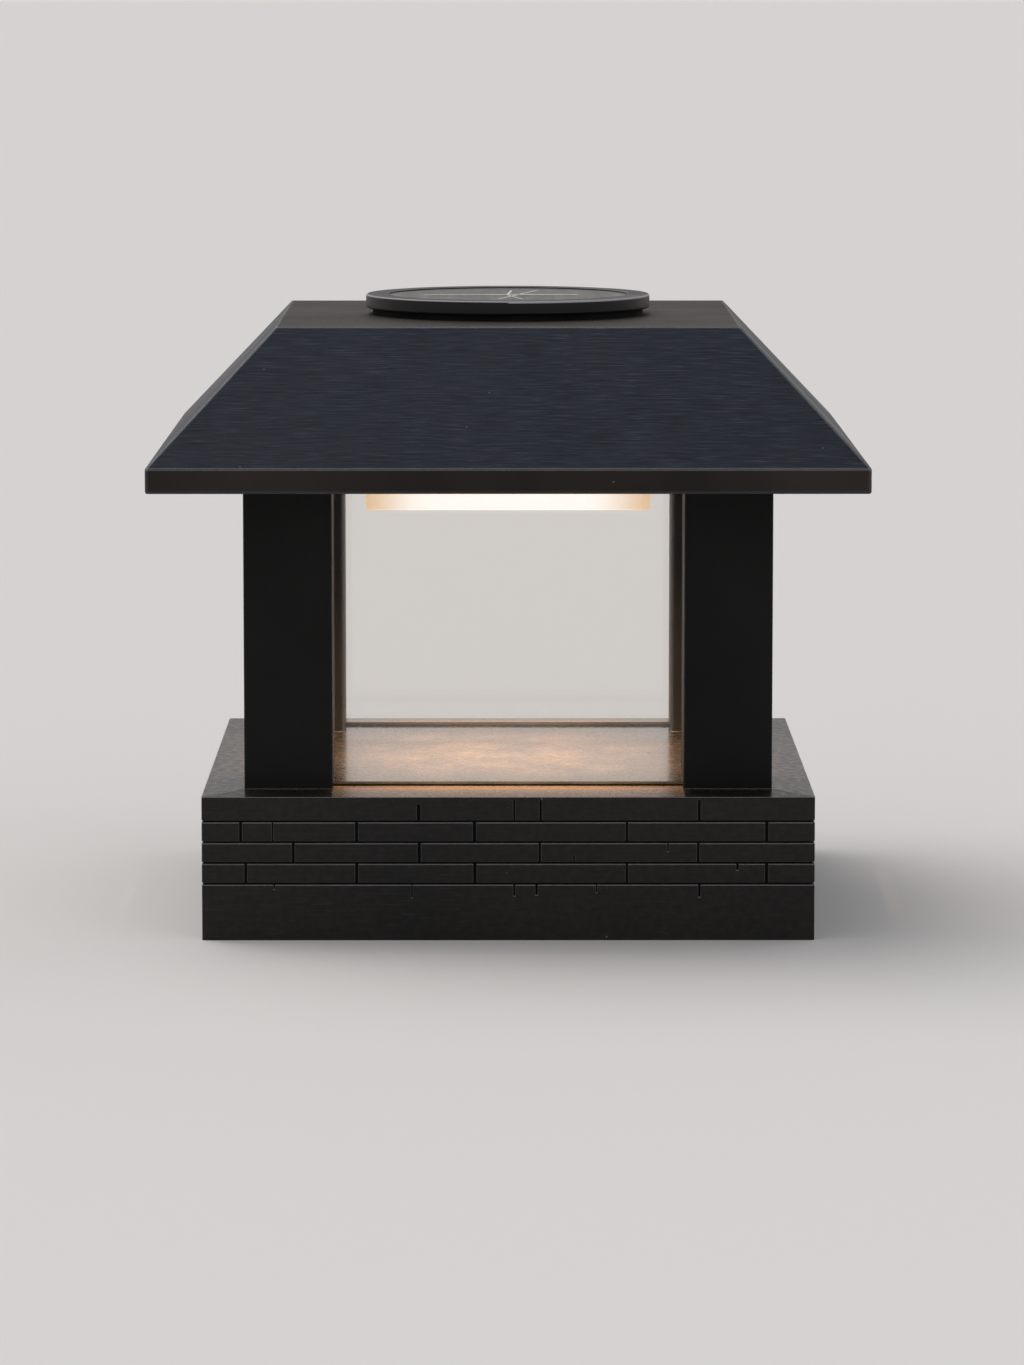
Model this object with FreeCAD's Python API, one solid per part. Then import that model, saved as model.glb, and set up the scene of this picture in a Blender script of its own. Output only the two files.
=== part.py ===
import FreeCAD, Part
import math
import os

# Solar cap light for the top of a square deck post, in millimetres.
# Origin: centre of the lower rim. +Z is up, -Y is the front.
# A skirt goes over the post and carries a glazed lantern under a hipped roof.
# A round solar module plugs into the roof and shines down into a frosted diffuser.

# --- Skirt and deck ---
post_width = 127.0          # square post sleeve that the skirt goes over
post_clearance = 0.8        # between post and skirt, each side
skirt_wall = 2.85
skirt_height = 31.7         # lower rim to the outer edge of the top border
border_width = 9.05         # level distance from the skirt's face to the corner posts
border_rise = 0.5
deck_thickness = 4.0
ledge_width = 10.3          # frame under the deck that bears on the post
ledge_height = 2.0
skirt_edge_radius = 0.5
fixing_hole_radius = 2.1
fixing_hole_height = 6.5
fixing_hole_spacing = 60.0

# --- Stacked-stone relief on the skirt ---
course_top_drop = 5.4       # top edge to the first level groove
course_pitch = 4.6
course_grooves = 4
relief_width = 0.6
relief_depth = 0.45
seam_width = 0.3            # mitre seam across each corner of the border
seam_depth = 0.15           # below the border's outer edge
past = 1.0                  # how far a cut runs past the surface that it opens
# Upright marks of each course, top course first: distance from the face's middle, width, and the
# share of the course's height where the mark starts and ends.
COURSE_MARKS = (
    ((-19.6, 0.9, 0.0, 0.7), (1.3, 0.45, 0.0, 0.88), (7.1, 0.6, 0.0, 0.88), (41.8, 0.7, 0.0, 0.88)),
    ((-58.6, 0.7, 0, 1), (-51.6, 0.35, 0, 1), (-33.2, 0.8, 0, 1), (-7.4, 0.8, 0, 1), (26.0, 0.6, 0, 1),
     (56.6, 0.8, 0, 1)),
    ((-47.1, 0.7, 0, 1), (-19.5, 0.8, 0, 1), (6.9, 0.6, 0, 1), (14.4, 0.4, 0.0, 0.35),
     (35.0, 0.35, 0.55, 1.0), (41.6, 0.6, 0, 1)),
    ((-57.5, 0.7, 0, 1), (-33.2, 0.8, 0, 1), (-7.3, 0.8, 0, 1), (26.0, 0.6, 0, 1), (50.2, 0.6, 0.65, 1.0),
     (56.6, 0.8, 0, 1)),
    ((-51.3, 0.4, 0.9, 1.0), (-21.1, 0.35, 0.75, 1.0), (1.3, 0.45, 0.78, 1.0), (6.2, 0.6, 0.8, 1.0),
     (19.3, 0.35, 0.84, 1.0), (41.9, 0.6, 0.76, 1.0)),
)

# --- Lantern ---
corner_size = 19.4
corner_length = 68.0
corner_wall = 2.4
corner_edge_radius = 0.5
screw_port_radius = 3.4
screw_port_web = 1.6
pane_thickness = 3.0
pane_setback = 5.8          # outer face of a pane behind the corner posts' faces
pane_grip = 2.6             # how far a pane reaches into a corner post
pane_side_clearance = 0.2
pane_end_clearance = 0.4
groove_back_wall = 2.0
seal_width = 4.2
seal_depth = 1.2            # how deep a seal is set into the deck or the ceiling
seal_stand = 0.4            # how far it stands out
floor_thickness = 2.0
floor_clearance = 0.25

# --- Roof and ceiling ---
eave_overhang = 20.2        # beyond the corner posts' outer faces
fascia_height = 5.4
roof_rise = 29.0            # top of the fascia to the flat top
roof_top_width = 102.0
roof_wall = 2.5
roof_edge_radius = 0.55
ceiling_recess = 1.0        # ceiling above the fascia's lower edge
ceiling_thickness = 2.5
ceiling_clearance = 0.3
ceiling_screw_inset = 9.0   # from the ceiling's edge
boss_radius = 3.2
collar_wall = 2.0
collar_length = 12.6

# --- Diffuser and light well ---
well_clearance = 1.25       # plug to the light well's walls
diffuser_corner_radius = 1.2
diffuser_drop = 8.8         # below the ceiling
diffuser_wall = 1.8
diffuser_edge_radius = 0.5
diffuser_clearance = 0.3
flange_width = 3.2
flange_thickness = 1.6
well_wall = 1.4
well_height = 13.0
well_ear_reach = 8.6        # from the diffuser's face to a fixing screw
well_ear_radius = 4.0

# --- Screws ---
boss_merge = 1.0            # how far a boss runs into the wall beside it
screw_radius = 1.35
screw_fit = 0.05            # shank to pilot hole
screw_head_radius = 2.9
screw_head_height = 1.8
screw_head_clearance = 0.3
flush_head_height = 1.5
screw_tip = 1.2
post_screw_length = 14.0
ceiling_screw_length = 9.0
well_screw_length = 4.6
module_screw_length = 7.0
pilot_spare = 1.0           # pilot hole beyond the screw's tip
drive_slot_width = 0.8
drive_slot_depth = 0.7

# --- Solar module ---
bezel_step = 0.8            # plug's wall to the window's edge
bezel_height = 3.1
bezel_lip_reach = 2.3       # how far the lip covers the window's edge
bezel_lip_height = 0.3
bezel_wall = 2.7
bezel_edge_radius = 0.45
seal_height = 1.4           # gasket between roof and bezel
seal_ring_width = 1.9
window_thickness = 0.9
cell_thickness = 0.3
cell_board_thickness = 0.6
cell_margin = 1.6
plug_wall = 2.6
plug_clearance = 0.4
plug_length = 24.0          # below the bezel
plug_deck = 1.2
ring_section_radius = 0.8
ring_fit = 0.1              # plug ring to the collar's bore
ring_drop = 8.0             # bezel's underside to the plug ring's centre
stack_clearance = 0.1

# --- Battery and its bay ---
battery_radius = 5.25
battery_length = 44.5
battery_nub_radius = 1.9
battery_nub_length = 0.8
bay_side_clearance = 0.35
bay_end_room = 1.95
bay_wall = 1.0
bay_corner_clearance = 0.15 # bay's corners to the plug's wall
base_thickness = 1.6
contact_thickness = 0.3
contact_half_width = 3.6
contact_tab_half_width = 1.0
contact_tab_rise = 1.2
door_clearance = 0.25
door_rib_height = 0.5
hinge_barrel_radius = 1.2
hinge_gap = 0.3
hinge_pin_radius = 0.6
hinge_tight_fit = 0.01      # pin in the knuckles
hinge_running_fit = 0.05    # pin in the door's barrel
knuckle_length = 2.6
knuckle_inset = 0.8         # from the end of the bay to a knuckle

# --- Control board ---
board_width = 24.0
board_depth = 14.0
board_gap = 2.0             # battery bay to board
board_thickness = 1.0
board_height = 3.4          # clear height under the board
standoff_radius = 1.3
standoff_inset = 1.8
switch_travel = 3.0
slider_length = 3.6
slider_width = 3.0
slider_height = 1.6
slider_clearance = 0.15
slider_nub_length = 2.4
slider_nub_width = 2.0
slider_nub_stand = 0.7
switch_wall = 1.0
switch_depth = 3.0
lamp_radius = 1.5
lamp_flange_radius = 1.8
lamp_spacing = 16.0
lamp_hole_clearance = 0.3
lamp_recess = 0.4
chip_size = (5.0, 4.0, 1.5)
coil_radius = 2.3
coil_height = 4.5
capacitor_radius = 1.8
capacitor_height = 6.0
lead_radius = 0.45
lead_spacing = 2.4
lead_hole_radius = 3.0

# --- Places worked out from the sizes above ---
socket_half = post_width / 2 + post_clearance
skirt_half = socket_half + skirt_wall
corner_face = skirt_half - border_width
corner_centre = corner_face - corner_size / 2
corner_inner = corner_face - corner_size
deck_top = skirt_height + border_rise
deck_under = deck_top - deck_thickness
seat_height = deck_under - ledge_height
pane_face = corner_face - pane_setback
pane_middle = pane_face - pane_thickness / 2
floor_half = pane_middle - seal_width / 2 - floor_clearance
ceiling_under = deck_top + corner_length
ceiling_top = ceiling_under + ceiling_thickness
fascia_under = ceiling_under - ceiling_recess
fascia_top = fascia_under + fascia_height
roof_top = fascia_top + roof_rise
roof_half = corner_face + eave_overhang
roof_top_half = roof_top_width / 2
bay_half_length = battery_length / 2 + bay_end_room
bay_half_width = battery_radius + bay_side_clearance
plug_inner_radius = math.hypot(bay_half_length + bay_wall, bay_half_width + bay_wall) + bay_corner_clearance
plug_radius = plug_inner_radius + plug_wall
bore_radius = plug_radius + plug_clearance
bezel_inner_radius = plug_radius + bezel_step
bezel_lip_radius = bezel_inner_radius - bezel_lip_reach
bezel_radius = bezel_inner_radius + bezel_wall
well_half = plug_radius + well_clearance
diffuser_half = well_half + diffuser_wall
diffuser_under = ceiling_under - diffuser_drop
flange_top = ceiling_top + flange_thickness
well_screw_place = diffuser_half + well_ear_reach
pilot_radius = screw_radius + screw_fit
head_hole_radius = screw_head_radius + screw_head_clearance
bezel_under = roof_top + seal_height
bezel_top = bezel_under + bezel_height
window_top = bezel_top - bezel_lip_height
cell_top = window_top - window_thickness
cell_board_top = cell_top - cell_thickness
plug_top = cell_board_top - cell_board_thickness
module_under = bezel_under - plug_length
base_top = module_under + base_thickness
door_rib_top = base_top - stack_clearance + door_rib_height
battery_height = door_rib_top + stack_clearance + battery_radius
bay_ceiling = battery_height + battery_radius + bay_side_clearance
bay_top = bay_ceiling + bay_wall
hinge_y = bay_half_width + bay_wall + hinge_gap + hinge_barrel_radius
hinge_z = module_under + hinge_barrel_radius
knuckle_outer = bay_half_length - knuckle_inset
knuckle_inner = knuckle_outer - knuckle_length
board_rear = -(bay_half_width + bay_wall + board_gap)
board_front = board_rear - board_depth
board_middle = (board_rear + board_front) / 2
board_under = base_top + board_height
board_top = board_under + board_thickness

V = FreeCAD.Vector
Z_AXIS = V(0, 0, 1)
CORNERS = ((-1, -1), (1, -1), (-1, 1), (1, 1))


def block(x0, x1, y0, y1, z0, z1):
    """A box between two corners."""
    return Part.makeBox(x1 - x0, y1 - y0, z1 - z0, V(x0, y0, z0))


def slab(half, z0, z1):
    """A square plate on the centre line."""
    return block(-half, half, -half, half, z0, z1)


def rod(radius, z0, z1, x=0.0, y=0.0):
    """An upright cylinder."""
    return Part.makeCylinder(radius, z1 - z0, V(x, y, z0), Z_AXIS)


def along_x(radius, x0, x1, y, z):
    """A cylinder that lies along X."""
    return Part.makeCylinder(radius, x1 - x0, V(x0, y, z), V(1, 0, 0))


def turned(profile):
    """A solid of revolution from (radius, height) corners."""
    points = [V(radius, 0, height) for radius, height in profile]
    wire = Part.makePolygon(points + points[:1])
    return Part.Face(wire).revolve(V(0, 0, 0), Z_AXIS, 360)


def frustum(half_low, z_low, half_high, z_high):
    """A square pyramid cut off at the top."""
    wires = []
    for half, z in ((half_low, z_low), (half_high, z_high)):
        points = [V(-half, -half, z), V(half, -half, z), V(half, half, z), V(-half, half, z)]
        wires.append(Part.makePolygon(points + points[:1]))
    return Part.makeLoft(wires, True, True)


def fuse(shapes):
    """One solid from shapes that meet."""
    return shapes[0].multiFuse(shapes[1:]).removeSplitter()


def four_ways(shape):
    """The shape and its copies turned a quarter, a half and three quarters about Z."""
    copies = []
    for quarter in range(4):
        copy = shape.copy()
        copy.rotate(V(0, 0, 0), Z_AXIS, 90 * quarter)
        copies.append(copy)
    return copies


def upright_edges(shape):
    """The straight edges that run along Z."""
    found = []
    for edge in shape.Edges:
        if len(edge.Vertexes) == 2:
            run = edge.Vertexes[1].Point - edge.Vertexes[0].Point
            if math.hypot(run.x, run.y) < 1e-6:
                found.append(edge)
    return found


def screw(x, y, z, length, head_height, pointing):
    """A self-tapping screw: its head's seat at z, its shank along pointing (+1 up, -1 down)."""
    shank = rod(screw_radius, 0, length - screw_tip)
    tip = Part.makeCone(screw_radius, screw_radius / 3, screw_tip, V(0, 0, length - screw_tip), Z_AXIS)
    head = rod(screw_head_radius, -head_height, 0)
    head = head.makeFillet(head_height / 3, [head.Edges[2]])
    slot = block(-screw_head_radius, screw_head_radius, -drive_slot_width / 2, drive_slot_width / 2,
                 -head_height, -head_height + drive_slot_depth)
    slot = slot.common(rod(screw_head_radius * 0.65, -head_height, 0))
    cross = slot.copy()
    cross.rotate(V(0, 0, 0), Z_AXIS, 90)
    body = fuse([shank, tip, head]).cut(slot).cut(cross)
    if pointing < 0:
        body.rotate(V(0, 0, 0), V(1, 0, 0), 180)
    body.translate(V(x, y, z))
    return body


def wire_run(points, radius):
    """A stiff lead along straight runs, with a ball at each bend."""
    pieces = []
    for start, end in zip(points, points[1:]):
        run = V(*end) - V(*start)
        pieces.append(Part.makeCylinder(radius, run.Length, V(*start), run))
    for bend in points[1:-1]:
        pieces.append(Part.makeSphere(radius, V(*bend)))
    return fuse(pieces)


# --- Skirt ---
def relief_cutters():
    """Level grooves, upright marks and mitre seams, for one face and turned to all four."""
    outside = skirt_half + past
    inside = skirt_half - relief_depth
    levels = [skirt_height - course_top_drop - course_pitch * i for i in range(course_grooves)]
    cutters = []
    for level in levels:
        low, high = level - relief_width / 2, level + relief_width / 2
        cutters.append(slab(outside, low, high).cut(slab(inside, low, high)))
    for marks, top, foot in zip(COURSE_MARKS, [skirt_height] + levels, levels + [0.0]):
        for place, width, start, end in marks:
            low, high = foot + start * (top - foot), foot + end * (top - foot)
            mark = block(place - width / 2, place + width / 2, -outside, -inside, low, high)
            cutters.extend(four_ways(mark))
    start, end = (corner_face + seam_width) * math.sqrt(2), outside * math.sqrt(2)
    seam = block(start, end, -seam_width / 2, seam_width / 2, skirt_height - seam_depth, deck_top + past)
    seam.rotate(V(0, 0, 0), Z_AXIS, 45)
    return cutters + four_ways(seam)


def make_base_skirt():
    """Hollow skirt with a closed deck, a bearing ledge, stone relief and fixing holes."""
    body = fuse([slab(skirt_half, 0, skirt_height),
                 frustum(skirt_half, skirt_height, corner_face, deck_top)])
    body = body.makeFillet(skirt_edge_radius, upright_edges(body))
    body = body.cut(slab(socket_half, 0, deck_under))
    ledge = slab(socket_half, seat_height, deck_under)
    body = fuse([body, ledge.cut(slab(socket_half - ledge_width, seat_height, deck_under))])
    recess_floor = deck_top - floor_thickness
    body = body.cut(floor_plan(floor_half + floor_clearance, corner_inner, recess_floor, deck_top + past))
    tools = relief_cutters()
    for x, y in CORNERS:
        x, y = x * corner_centre, y * corner_centre
        tools.append(rod(pilot_radius, deck_under, deck_top + past, x, y))
        tools.append(rod(head_hole_radius, seat_height, deck_under + screw_head_height, x, y))
    groove = pane_seal(deck_top - seal_depth, deck_top + past)
    tools.extend(four_ways(groove))
    for side in (-1, 1):
        for end in (-1, 1):
            start = V(side * (skirt_half + past), end * fixing_hole_spacing / 2, fixing_hole_height)
            tools.append(Part.makeCylinder(fixing_hole_radius, skirt_wall + 2 * past, start, V(-side, 0, 0)))
    return body.cut(tools)


def pane_seal(z0, z1):
    """The front seal strip, between the corner posts."""
    near, far = -pane_middle + seal_width / 2, -pane_middle - seal_width / 2
    return block(-corner_inner, corner_inner, far, near, z0, z1)


def floor_plan(half, corner, z0, z1):
    """A square slab with a square notch at each corner, where a corner post stands."""
    across = block(-half, half, -corner, corner, z0, z1)
    along = block(-corner, corner, -half, half, z0, z1)
    return fuse([across, along])


def make_lantern_floor():
    """Plate let into the deck between the seals and the corner posts."""
    return floor_plan(floor_half, corner_inner - floor_clearance, deck_top - floor_thickness, deck_top)


# --- Lantern ---
def make_corner_post(side_x, side_y):
    """Extruded square post with two pane grooves and a screw port on webs."""
    z0, z1 = deck_top, ceiling_under
    post = block(corner_inner, corner_face, corner_inner, corner_face, z0, z1)
    post = post.makeFillet(corner_edge_radius, upright_edges(post))
    near = corner_inner + pane_grip + pane_end_clearance + groove_back_wall
    far = corner_face - corner_wall
    hollow = block(near, far, near, far, z0, z1)
    web = screw_port_web / 2
    port = fuse([rod(screw_port_radius, z0, z1, corner_centre, corner_centre),
                 block(near, far, corner_centre - web, corner_centre + web, z0, z1),
                 block(corner_centre - web, corner_centre + web, near, far, z0, z1)])
    post = post.cut(hollow.cut(port)).cut(rod(pilot_radius, z0, z1, corner_centre, corner_centre))
    groove_end = corner_inner + pane_grip + pane_end_clearance
    low = pane_face - pane_thickness - pane_side_clearance
    high = pane_face + pane_side_clearance
    post = post.cut([block(corner_inner, groove_end, low, high, z0, z1),
                     block(low, high, corner_inner, groove_end, z0, z1)])
    if side_x < 0:
        post = post.mirror(V(0, 0, 0), V(1, 0, 0))
    if side_y < 0:
        post = post.mirror(V(0, 0, 0), V(0, 1, 0))
    return post


def make_window_pane():
    """The front pane, which reaches into the grooves of two corner posts."""
    half = corner_inner + pane_grip
    return block(-half, half, -pane_face, -pane_face + pane_thickness,
                 deck_top + seal_stand, ceiling_under - seal_stand)


def make_seals(z0, z1):
    """Four seal strips, one at each pane."""
    return Part.makeCompound(four_ways(pane_seal(z0, z1)))


# --- Roof ---
def roof_inner_half(z):
    """Half the width of the roof's hollow at height z."""
    run = roof_half - roof_top_half
    slant = math.hypot(run, roof_rise)
    sloped = roof_half - roof_wall * slant / roof_rise - (z - fascia_top) * run / roof_rise
    return min(roof_half - roof_wall, sloped)


def make_roof_shell():
    """Hipped roof with a level fascia, screw bosses and the collar for the solar module."""
    outer = fuse([slab(roof_half, fascia_under, fascia_top),
                  frustum(roof_half, fascia_top, roof_top_half, roof_top)])
    solid = outer.makeFillet(roof_edge_radius, outer.Edges)
    run = roof_half - roof_top_half
    slant = math.hypot(run, roof_rise)
    bend = fascia_top - roof_wall * (slant - roof_rise) / run
    under_top = roof_top - roof_wall
    hollow = fuse([slab(roof_half - roof_wall, fascia_under, bend),
                   frustum(roof_inner_half(bend), bend, roof_inner_half(under_top), under_top)])
    additions = [rod(bore_radius + collar_wall, under_top - collar_length, under_top)]
    place = ceiling_half() - ceiling_screw_inset
    for x, y in CORNERS:
        additions.append(rod(boss_radius, ceiling_top, under_top, x * place, y * place).common(outer))
    shell = solid.cut(hollow)
    shell = fuse([shell] + [piece.common(hollow) for piece in additions])
    tools = [rod(bore_radius, under_top - collar_length, roof_top)]
    depth = ceiling_screw_length - (ceiling_thickness - flush_head_height) + pilot_spare
    for x, y in CORNERS:
        tools.append(rod(pilot_radius, ceiling_top, ceiling_top + depth, x * place, y * place))
    return shell.cut(tools)


def ceiling_half():
    """Half the width of the ceiling plate, which fits inside the fascia."""
    return roof_inner_half(ceiling_top) - ceiling_clearance


def make_ceiling_plate():
    """Plate on the corner posts that closes the roof and carries the diffuser."""
    plate = slab(ceiling_half(), ceiling_under, ceiling_top)
    bosses = []
    for x, y in ((-1, 0), (1, 0), (0, -1), (0, 1)):
        x, y = x * well_screw_place, y * well_screw_place
        bosses.append(rod(boss_radius, ceiling_top, flange_top, x, y))
    plate = fuse([plate] + bosses)
    opening = slab(diffuser_half + diffuser_clearance, ceiling_under, ceiling_top)
    opening = opening.makeFillet(diffuser_corner_radius + diffuser_clearance, upright_edges(opening))
    tools = [opening] + four_ways(pane_seal(ceiling_under, ceiling_under + seal_depth))
    place = ceiling_half() - ceiling_screw_inset
    for x, y in CORNERS:
        tools.append(rod(pilot_radius, ceiling_under, ceiling_top, x * corner_centre, y * corner_centre))
        tools.append(rod(pilot_radius, ceiling_under, ceiling_top, x * place, y * place))
        tools.append(rod(head_hole_radius, ceiling_under, ceiling_under + flush_head_height,
                         x * place, y * place))
    for x, y in ((-1, 0), (1, 0), (0, -1), (0, 1)):
        depth = well_screw_length - flange_thickness
        x, y = x * well_screw_place, y * well_screw_place
        tools.append(rod(pilot_radius, flange_top - depth, flange_top, x, y))
    return plate.cut(tools)


# --- Diffuser and light well ---
def make_diffuser():
    """Frosted square tub that hangs through the ceiling on its flange."""
    tub = slab(diffuser_half, diffuser_under, flange_top)
    tub = tub.makeFillet(diffuser_corner_radius, upright_edges(tub))
    rim = slab(diffuser_half + flange_width, ceiling_top, flange_top)
    rim = rim.makeFillet(diffuser_corner_radius, upright_edges(rim))
    lower = [edge for edge in tub.Edges if edge.BoundBox.ZMax < diffuser_under + 1e-3]
    tub = tub.makeFillet(diffuser_edge_radius, lower)
    hollow = slab(well_half, diffuser_under + diffuser_wall, flange_top)
    hollow = hollow.makeFillet(diffuser_corner_radius / 2, upright_edges(hollow))
    return fuse([tub, rim]).cut(hollow)


def make_light_well():
    """White reflecting shroud from the solar module down to the diffuser."""
    low, foot, top = flange_top, flange_top + flange_thickness, flange_top + well_height
    walls = slab(well_half + well_wall, low, top)
    flange = slab(diffuser_half + flange_width, low, foot)
    ear = fuse([rod(well_ear_radius, low, foot, 0, -well_screw_place),
                block(-well_ear_radius, well_ear_radius, -well_screw_place, -diffuser_half, low, foot)])
    hole = rod(pilot_radius, low, foot, 0, -well_screw_place)
    body = fuse([walls, flange] + four_ways(ear))
    return body.cut([slab(well_half, low, top)] + four_ways(hole))


# --- Fixings ---
def make_post_screws(z, pointing):
    """One screw into the port of each corner post."""
    return Part.makeCompound([screw(x * corner_centre, y * corner_centre, z, post_screw_length,
                                    screw_head_height, pointing) for x, y in CORNERS])


def make_ceiling_screws():
    """Flush screws up through the ceiling into the roof's bosses."""
    place = ceiling_half() - ceiling_screw_inset
    return Part.makeCompound([screw(x * place, y * place, ceiling_under + flush_head_height,
                                    ceiling_screw_length, flush_head_height, 1) for x, y in CORNERS])


def make_well_screws():
    """Screws down through the light well's ears into the ceiling."""
    seat = flange_top + flange_thickness
    one = screw(0, -well_screw_place, seat, well_screw_length, screw_head_height, -1)
    return Part.makeCompound(four_ways(one))


# --- Solar module: window and plug ---
def make_module_bezel():
    """Ring around the window, with a thin lip over its edge."""
    ring = turned([(bezel_inner_radius, bezel_under), (bezel_radius, bezel_under),
                   (bezel_radius, bezel_top), (bezel_lip_radius, bezel_top),
                   (bezel_lip_radius, window_top), (bezel_inner_radius, window_top)])
    outer = [edge for edge in ring.Edges if edge.BoundBox.ZLength < 1e-3
             and abs(edge.BoundBox.XMax - bezel_radius) < 1e-3]
    return ring.makeFillet(bezel_edge_radius, outer)


def make_module_seal():
    """Flat gasket between the roof and the bezel."""
    inner = plug_radius + stack_clearance
    return rod(inner + seal_ring_width, roof_top, bezel_under).cut(rod(inner, roof_top, bezel_under))


def make_cell_window():
    """Clear disc under the bezel's lip."""
    return rod(bezel_inner_radius - stack_clearance, cell_top, window_top)


def make_solar_cell():
    """Thin cell on its board."""
    return rod(bezel_inner_radius - cell_margin, cell_board_top, cell_top)


def make_cell_board():
    """Board that carries the cell, on the plug's deck."""
    return rod(bezel_inner_radius - stack_clearance, plug_top, cell_board_top)


def module_screw_places():
    """Four screw places near the plug's wall, clear of the battery bay and the board."""
    reach = plug_inner_radius - boss_radius + boss_merge
    angles = (41.0, 139.0, 216.0, 324.0)
    return [(reach * math.cos(math.radians(a)), reach * math.sin(math.radians(a))) for a in angles]


def make_module_body():
    """Hollow plug with a groove for its ring, screw bosses and a rim under the bezel."""
    flange = bezel_inner_radius - stack_clearance
    body = turned([(0, base_top), (plug_radius, base_top), (plug_radius, bezel_under),
                   (flange, bezel_under), (flange, plug_top), (0, plug_top)])
    deck_low = plug_top - plug_deck
    body = body.cut(rod(plug_inner_radius, base_top, deck_low))
    limit = rod(plug_radius - plug_wall / 2, base_top, deck_low)
    bosses = [rod(boss_radius, base_top, deck_low, x, y).common(limit) for x, y in module_screw_places()]
    body = fuse([body] + bosses)
    low = bezel_under - ring_drop - ring_section_radius - stack_clearance
    high = bezel_under - ring_drop + ring_section_radius + stack_clearance
    groove_floor = rod(ring_centre_radius() - ring_section_radius, low, high)
    groove = rod(plug_radius + past, low, high).cut(groove_floor)
    tools = [groove, rod(lead_hole_radius, deck_low, plug_top, 0, lead_place())]
    depth = module_screw_length - base_thickness + pilot_spare
    for x, y in module_screw_places():
        tools.append(rod(pilot_radius, base_top, base_top + depth, x, y))
    return body.cut(tools)


def ring_centre_radius():
    """Centre line of the plug ring, which stands just clear of the collar's bore."""
    return bore_radius - ring_fit - ring_section_radius


def lead_place():
    """How far in front of the centre the cell's leads come down."""
    return board_rear - standoff_inset


def make_plug_ring():
    """Rubber ring that grips the collar."""
    return Part.makeTorus(ring_centre_radius(), ring_section_radius, V(0, 0, bezel_under - ring_drop), Z_AXIS)


# --- Solar module: base, battery bay and door ---
def make_module_base():
    """Lower plate of the module with the battery bay, hinge knuckles, standoffs and openings."""
    plate = rod(plug_radius, module_under, base_top)
    bay = block(-bay_half_length - bay_wall, bay_half_length + bay_wall, -bay_half_width - bay_wall,
                bay_half_width + bay_wall, base_top, bay_top)
    body = fuse([plate, bay])
    opening_front = -(bay_half_width + bay_wall + door_clearance)
    opening_rear = hinge_y + hinge_barrel_radius + hinge_gap
    half = bay_half_length
    body = body.cut([block(-half, half, -bay_half_width, bay_half_width, base_top, bay_ceiling),
                     block(-half, half, opening_front, opening_rear, module_under, base_top)])
    extras = []
    for side in (-1, 1):
        x0, x1 = sorted((side * knuckle_inner, side * knuckle_outer))
        extras.append(along_x(hinge_barrel_radius, x0, x1, hinge_y, hinge_z))
        extras.append(block(x0, x1, hinge_y, opening_rear + hinge_gap,
                            module_under, hinge_z + hinge_barrel_radius))
        x = side * (board_width / 2 - standoff_inset)
        extras.append(rod(standoff_radius, base_top, board_under, x, board_rear - standoff_inset))
    extras.append(rod(standoff_radius, base_top, board_under, 0, board_front + standoff_inset))
    body = fuse([body] + extras)
    tools = [along_x(hinge_pin_radius + hinge_tight_fit, -knuckle_outer, knuckle_outer, hinge_y, hinge_z)]
    slot_half = (slider_nub_length + switch_travel) / 2 + slider_clearance
    slot_depth = slider_nub_width / 2 + slider_clearance
    tools.append(block(-slot_half, slot_half, board_middle - slot_depth, board_middle + slot_depth,
                       module_under, base_top))
    for side in (-1, 1):
        tools.append(rod(lamp_flange_radius + lamp_hole_clearance, module_under, base_top,
                         side * lamp_spacing / 2, board_middle))
        tab_x0, tab_x1 = sorted((side * (bay_half_length - 2 * contact_thickness), side * bay_half_length))
        tab = contact_tab_half_width + stack_clearance
        tools.append(block(tab_x0, tab_x1, -tab, tab, bay_ceiling, bay_top))
    for x, y in module_screw_places():
        tools.append(rod(pilot_radius, module_under, base_top, x, y))
    return body.cut(tools)


def make_battery_door():
    """Flap that closes the bay, with its hinge barrel and two ribs under the battery."""
    half = bay_half_length - door_clearance
    front = -(bay_half_width + bay_wall)
    top = base_top - stack_clearance
    plate = block(-half, half, front, hinge_y, module_under, top)
    barrel_half = knuckle_inner - hinge_gap
    barrel = along_x(hinge_barrel_radius, -barrel_half, barrel_half, hinge_y, hinge_z)
    cuts = []
    for side in (-1, 1):
        x0, x1 = sorted((side * barrel_half, side * (half + past)))
        near = hinge_y - hinge_barrel_radius - hinge_gap
        cuts.append(block(x0, x1, near, hinge_y + past, module_under, top))
    ribs = []
    for side in (-1, 1):
        x = side * battery_length / 4
        ribs.append(block(x - bay_wall / 2, x + bay_wall / 2, -bay_half_width / 2, bay_half_width / 2,
                          module_under, door_rib_top))
    door = fuse([plate.cut(cuts), barrel] + ribs)
    bore = along_x(hinge_pin_radius + hinge_running_fit, -barrel_half, barrel_half, hinge_y, hinge_z)
    nail_notch = block(-bay_half_width, bay_half_width, front, front + bay_wall,
                       module_under, module_under + base_thickness / 2)
    return door.cut([bore, nail_notch])


def make_door_hinge_pin():
    """Steel pin through the knuckles and the door's barrel."""
    return along_x(hinge_pin_radius, -knuckle_outer, knuckle_outer, hinge_y, hinge_z)


def make_battery():
    """Rechargeable cell with its raised end at +X."""
    half = battery_length / 2
    can = along_x(battery_radius, -half, half - battery_nub_length, 0, battery_height)
    nub = along_x(battery_nub_radius, -half, half, 0, battery_height)
    return fuse([can, nub])


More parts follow.
